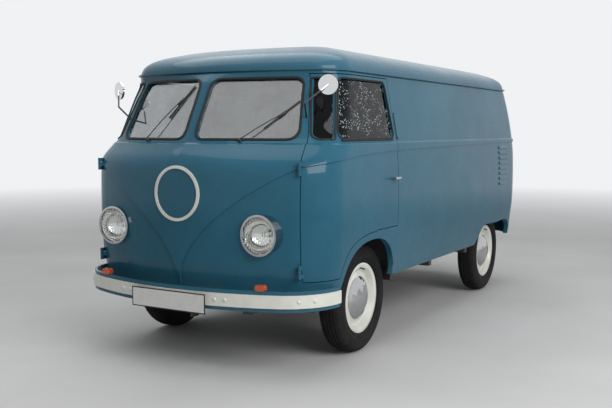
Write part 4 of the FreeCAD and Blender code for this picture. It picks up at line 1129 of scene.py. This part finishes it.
class VAN_OT_cab_fittings(bpy.types.Operator):
    """Adds door boards, winders, visors, mirror, levers, pedals, dial, mat and horn button"""

    bl_idname = "van.cab_fittings"
    bl_label = "Cab fittings"

    def execute(self, context):
        for name, side in SIDES.items():
            self.door_inside(name, side)
            self.visor(name, side)
        self.looking_glass()
        self.levers()
        self.pedals()
        self.dial()
        self.mat()
        self.horn_button()
        return {"FINISHED"}

    def door_inside(self, name, side):
        door = "door_" + name
        corners = ((-1.46, 0.86), (-0.88, 0.86), (-0.88, 1.20), (-1.46, 1.20))

        def make_board(work):
            laid_sheet(work, [door], corners, from_inside(side), -0.001, 0.005, 14, 8)
        bevelled(new_piece("door_board_" + name, make_board, "trim_board", name + "_door"), 0.002)
        place, normal = hit([door], Vector((0.0, -1.02, 1.10)), Vector((side, 0.0, 0.0)))

        def make_winder(work):
            lathe(work, [(0.0, 0.0), (0.020, 0.0), (0.020, 0.010), (0.009, 0.014), (0.009, 0.030),
                         (0.0, 0.030)],
                  place, normal, 24)
            tube(work, [place + normal * 0.024, place + normal * 0.026 + Vector((0.0, -0.05, -0.04)),
                        place + normal * 0.030 + Vector((0.0, -0.085, -0.06))], 0.005)
            lathe(work, [(0.0, 0.0), (0.010, 0.0), (0.011, 0.012), (0.009, 0.026), (0.0, 0.028)],
                  place + normal * 0.028 + Vector((0.0, -0.085, -0.06)), normal, 20)
        new_piece("window_winder_" + name, make_winder, "bright_trim", name + "_door")

    def visor(self, name, side):
        def make_visor(work):
            middle_x = side * 0.32
            rounded_block(work, (middle_x - 0.16, -1.420, 1.668), (middle_x + 0.16, -1.290, 1.678), 0.004, 2)
            rod = [(side * 0.14, -1.424, 1.673), (middle_x, -1.426, 1.674), (side * 0.50, -1.424, 1.673)]
            tube(work, rod, 0.004)
            for x in (side * 0.15, side * 0.49):
                tube(work, [(x, -1.424, 1.673), (x, -1.428, 1.690), (x, -1.432, 1.706)], 0.004)
        new_piece("sun_visor_" + name, make_visor, "trim_board", "body")

    def looking_glass(self):
        def make_case(work):
            rounded_block(work, (-0.085, -1.520, 1.575), (0.085, -1.508, 1.625), 0.005, 3)
            tube(work, [(0.0, -1.514, 1.620), (0.0, -1.512, 1.650), (0.0, -1.505, 1.688)], 0.005)
        new_piece("inner_mirror", make_case, "black_metal", "body")

    def levers(self):
        def make_gear_lever(work):
            tube(work, [(0.0, -1.470, 0.470), (0.0, -1.480, 0.600), (0.0, -1.475, 0.760),
                        (0.0, -1.440, 0.900)],
                 0.007)
            lathe(work, [(0.060, 0.0), (0.055, 0.020), (0.030, 0.050), (0.014, 0.090), (0.008, 0.092)],
                  Vector((0.0, -1.470, 0.470)), UPWARD, 32)
            lathe(work, [(0.0, -0.004), (0.010, 0.0), (0.019, 0.012), (0.021, 0.022), (0.017, 0.034),
                         (0.0, 0.041)],
                  Vector((0.0, -1.440, 0.898)), Vector((0.0, 0.25, 1.0)), 24)
        new_piece("gear_lever", make_gear_lever, "dark_plastic", "body")

        def make_hand_brake(work):
            tube(work, [(0.12, -1.60, 0.470), (0.12, -1.60, 0.70), (0.12, -1.585, 0.86)], 0.008)
            tube(work, [(0.12, -1.588, 0.82), (0.12, -1.575, 0.90), (0.12, -1.550, 0.96)], 0.012)
        new_piece("hand_brake", make_hand_brake, "black_metal", "body")

    def pedals(self):
        def make_pedals(work):
            for x in (0.22, 0.32, 0.44):
                tube(work, [(x, -1.74, 0.470), (x, -1.725, 0.55), (x, -1.690, 0.62)], 0.007)
                lathe(work, [(0.0, -0.004), (0.030, -0.004), (0.033, 0.0), (0.030, 0.006), (0.0, 0.006)],
                      Vector((x, -1.686, 0.625)), Vector((0.0, 0.8, 0.6)), 24)
        new_piece("pedals", make_pedals, "mat_rubber", "body")

    def dial(self):
        centre = Vector((0.34, -1.7255, 1.2700))
        facing = Vector((0.0, 0.105, 0.020)).normalized()

        def make_bezel(work):
            lathe(work, [(0.050, -0.002), (0.056, -0.002), (0.057, 0.003), (0.054, 0.007), (0.050, 0.005)],
                  centre,
                  facing, 48)
        new_piece("dial_bezel", make_bezel, "bright_trim", "body")

        def make_marks(work):
            side = facing.orthogonal().normalized()
            other = facing.cross(side)
            for step in range(21):
                turn = radians(-130 + 13 * step)
                out = side * cos(turn) + other * sin(turn)
                length = 0.010 if step % 2 == 0 else 0.006
                path = [centre + facing * 0.002 + out * (0.046 - length),
                        centre + facing * 0.002 + out * 0.046]
                sweep(work, path, [facing, facing], [(-0.0007, 0.0), (-0.0007, 0.0008), (0.0007, 0.0008),
                                                     (0.0007, 0.0)], False)
            needle = side * cos(radians(-100)) + other * sin(radians(-100))
            sweep(work, [centre + facing * 0.004 - needle * 0.008, centre + facing * 0.004 + needle * 0.038],
                  [facing, facing], [(-0.001, 0.0), (-0.0008, 0.001), (0.0008, 0.001), (0.001, 0.0)], False)
        new_piece("dial_marks", make_marks, "plate_paint", "body")

    def mat(self):
        def make_mat(work):
            ray = from_above(0.66)
            corners = ((-0.42, -1.76), (0.42, -1.76), (0.42, -1.53), (-0.42, -1.53))
            laid_sheet(work, ["cab_floor"], corners, ray, 0.0, 0.006, 24, 8)
            for rib in range(9):
                y = -1.745 + 0.025 * rib
                path, _ = line_on(["cab_floor"], (-0.41, y), (0.41, y), 41, ray)
                sweep(work, [place + UPWARD * 0.006 for place in path], [UPWARD] * len(path),
                      [(-0.004, 0.0), (-0.003, 0.003), (0.003, 0.003), (0.004, 0.0)], False)
        new_piece("cab_mat", make_mat, "mat_rubber", "body")

    def horn_button(self):
        low, high = box_of("steering_wheel")
        joint = next(j for j in frame["record"]["behaviour"]["joints"] if j["name"] == "steering_turn")
        axis = Vector(joint["axis"]).normalized()
        pos = Vector(joint["pos_m"])
        top = max((v.co - pos).dot(axis) for v in frame["nodes"]["steering_wheel"].data.vertices
                  if ((v.co - pos) - axis * (v.co - pos).dot(axis)).length < 0.05)
        centre = pos + axis * (top - 0.002)

        def make_button(work):
            lathe(work, [(0.0, 0.012), (0.012, 0.0115), (0.022, 0.008), (0.026, 0.003), (0.026, 0.0),
                         (0.0, 0.0)],
                  centre, axis, 32)
        new_piece("horn_button", make_button, "ivory_paint", "steering")


# Load space

class VAN_OT_load_space(bpy.types.Operator):
    """Boards the load floor"""

    bl_idname = "van.load_space"
    bl_label = "Load space"

    def execute(self, context):
        pitch = context.scene.van_sizes.board_pitch

        def make_boards(work):
            front, back = -0.62, 0.80
            joint = 0.003
            count = int(1.26 / pitch)
            for index in range(count):
                x = -count * pitch / 2 + index * pitch
                left = x + joint
                right = x + pitch - joint
                corners = ((left, front), (right, front), (right, back), (left, back))
                laid_sheet(work, ["load_floor"], corners, from_above(1.2), 0.0, 0.012, 3, 14)
        bevelled(new_piece("load_boards", make_boards, "floor_boards", "body",
                           smooth=False), 0.002)
        return {"FINISHED"}


# Stage

def area_light(name, place, aim, size_x, size_y, power):
    data = bpy.data.lights.new(name, "AREA")
    data.shape = "RECTANGLE"
    data.size = size_x
    data.size_y = size_y
    data.energy = power
    lamp = bpy.data.objects.new(name, data)
    lamp.location = place
    lamp.rotation_euler = (Vector(aim) - Vector(place)).to_track_quat("-Z", "Y").to_euler()
    bpy.context.collection.objects.link(lamp)
    return lamp


PALE = (0.87, 0.885, 0.90, 1.0)
CAMERA_PLACE = (2.9803, -5.7344, 1.3583)
CAMERA_DIP = 6.77
CAMERA_TURN = 30.79
CAMERA_SHIFT = (0.0301, 0.0435)


def lit_background(tree, strength):
    """Pale for the camera, glossy and see-through rays, and a plain level for the rest."""
    rays = tree.nodes.new("ShaderNodeLightPath")
    seen = tree.nodes.new("ShaderNodeMath")
    seen.operation = "MAXIMUM"
    either = tree.nodes.new("ShaderNodeMath")
    either.operation = "MAXIMUM"
    tree.links.new(rays.outputs["Is Camera Ray"], seen.inputs[0])
    tree.links.new(rays.outputs["Is Glossy Ray"], seen.inputs[1])
    tree.links.new(seen.outputs["Value"], either.inputs[0])
    tree.links.new(rays.outputs["Is Transmission Ray"], either.inputs[1])
    level = tree.nodes.new("ShaderNodeMapRange")
    level.inputs["To Min"].default_value = strength
    tree.links.new(either.outputs["Value"], level.inputs["Value"])
    return level.outputs["Result"]


class VAN_OT_stage(bpy.types.Operator):
    """Sets the floor, the lights, the pale surroundings and the camera"""

    bl_idname = "van.stage"
    bl_label = "Stage"

    def execute(self, context):
        stage = context.scene.van_stage
        context.scene.view_settings.view_transform = "Standard"
        self.ground()
        self.surroundings(context)
        area_light("key_light", (6.5, -3.2, 4.2), (0.0, -0.2, 0.9), 5.0, 4.0, stage.key_power)
        area_light("top_light", (-1.0, 0.0, 6.0), (0.0, 0.0, 0.5), 7.0, 7.0, stage.top_power)
        data = bpy.data.cameras.new("camera")
        data.lens = stage.lens
        data.sensor_width = 36.0
        data.shift_x, data.shift_y = CAMERA_SHIFT
        camera = bpy.data.objects.new("camera", data)
        camera.location = CAMERA_PLACE
        camera.rotation_euler = (radians(90.0 - CAMERA_DIP), 0.0, radians(CAMERA_TURN))
        context.collection.objects.link(camera)
        context.scene.camera = camera
        return {"FINISHED"}

    def ground(self):
        material = start_material("pale_floor", (0.54, 0.54, 0.535), roughness=0.75, specular=0.2)
        set_colour(material, mottled(material, 0.8, 6.0, 0.35, 0.65, (0.56, 0.56, 0.555),
                                     (0.51, 0.51, 0.505)))
        self.fade_out(material)
        mesh = bpy.data.meshes.new("ground")
        work = bmesh.new()
        bmesh.ops.create_grid(work, x_segments=8, y_segments=8, size=60.0)
        work.to_mesh(mesh)
        work.free()
        mesh.materials.append(material)
        ground = bpy.data.objects.new("ground", mesh)
        ground.location = (0.0, 0.0, -0.001)
        bpy.context.collection.objects.link(ground)

    def fade_out(self, material):
        """Far from the van the floor takes the colour of the surroundings."""
        tree = material.node_tree
        far = tree.nodes.new("ShaderNodeVectorMath")
        far.operation = "LENGTH"
        tree.links.new(places(material), far.inputs[0])
        share = spread(material, far.outputs["Value"], 5.0, 15.0, 0.0, 1.0)
        glow = tree.nodes.new("ShaderNodeEmission")
        glow.inputs["Color"].default_value = PALE
        blend = tree.nodes.new("ShaderNodeMixShader")
        seen = lit_background(tree, 0.0)
        tree.links.new(sum_of(material, share, seen, "MULTIPLY"), blend.inputs["Fac"])
        tree.links.new(tree.nodes["Principled BSDF"].outputs["BSDF"], blend.inputs[1])
        tree.links.new(glow.outputs["Emission"], blend.inputs[2])
        tree.links.new(blend.outputs["Shader"], tree.nodes["Material Output"].inputs["Surface"])

    def surroundings(self, context):
        world = context.scene.world or bpy.data.worlds.new("surroundings")
        context.scene.world = world
        world.use_nodes = True
        background = world.node_tree.nodes["Background"]
        background.inputs["Color"].default_value = PALE
        level = lit_background(world.node_tree, 0.40)
        world.node_tree.links.new(level, background.inputs["Strength"])


class VAN_PT_parts(bpy.types.Panel):
    """Lists the sizes, the colours and the steps that make the van"""

    bl_idname = "VAN_PT_parts"
    bl_label = "Panel van"
    bl_space_type = "VIEW_3D"
    bl_region_type = "UI"
    bl_category = "Van"

    def draw(self, context):
        for group in (context.scene.van_colours, context.scene.van_sizes, context.scene.van_stage):
            box = self.layout.box()
            for name in group.__annotations__:
                box.prop(group, name)
        for step in STEPS:
            self.layout.operator(step.bl_idname)


GROUPS = {"van_colours": VanColours, "van_sizes": VanSizes, "van_stage": VanStage}
STEPS = (VAN_OT_finishes, VAN_OT_window_rubbers, VAN_OT_tyres, VAN_OT_lamps, VAN_OT_outside_fittings,
         VAN_OT_bench,
         VAN_OT_cab_fittings, VAN_OT_load_space, VAN_OT_stage)


def register():
    for group in GROUPS.values():
        bpy.utils.register_class(group)
    for step in STEPS:
        bpy.utils.register_class(step)
    bpy.utils.register_class(VAN_PT_parts)
    for name, group in GROUPS.items():
        setattr(bpy.types.Scene, name, PointerProperty(type=group))


def unregister():
    for name in GROUPS:
        delattr(bpy.types.Scene, name)
    bpy.utils.unregister_class(VAN_PT_parts)
    for step in reversed(STEPS):
        bpy.utils.unregister_class(step)
    for group in reversed(list(GROUPS.values())):
        bpy.utils.unregister_class(group)


def main():
    register()
    for step in STEPS:
        group, name = step.bl_idname.split(".")
        getattr(getattr(bpy.ops, group), name)()


if __name__ == "__main__":
    main()
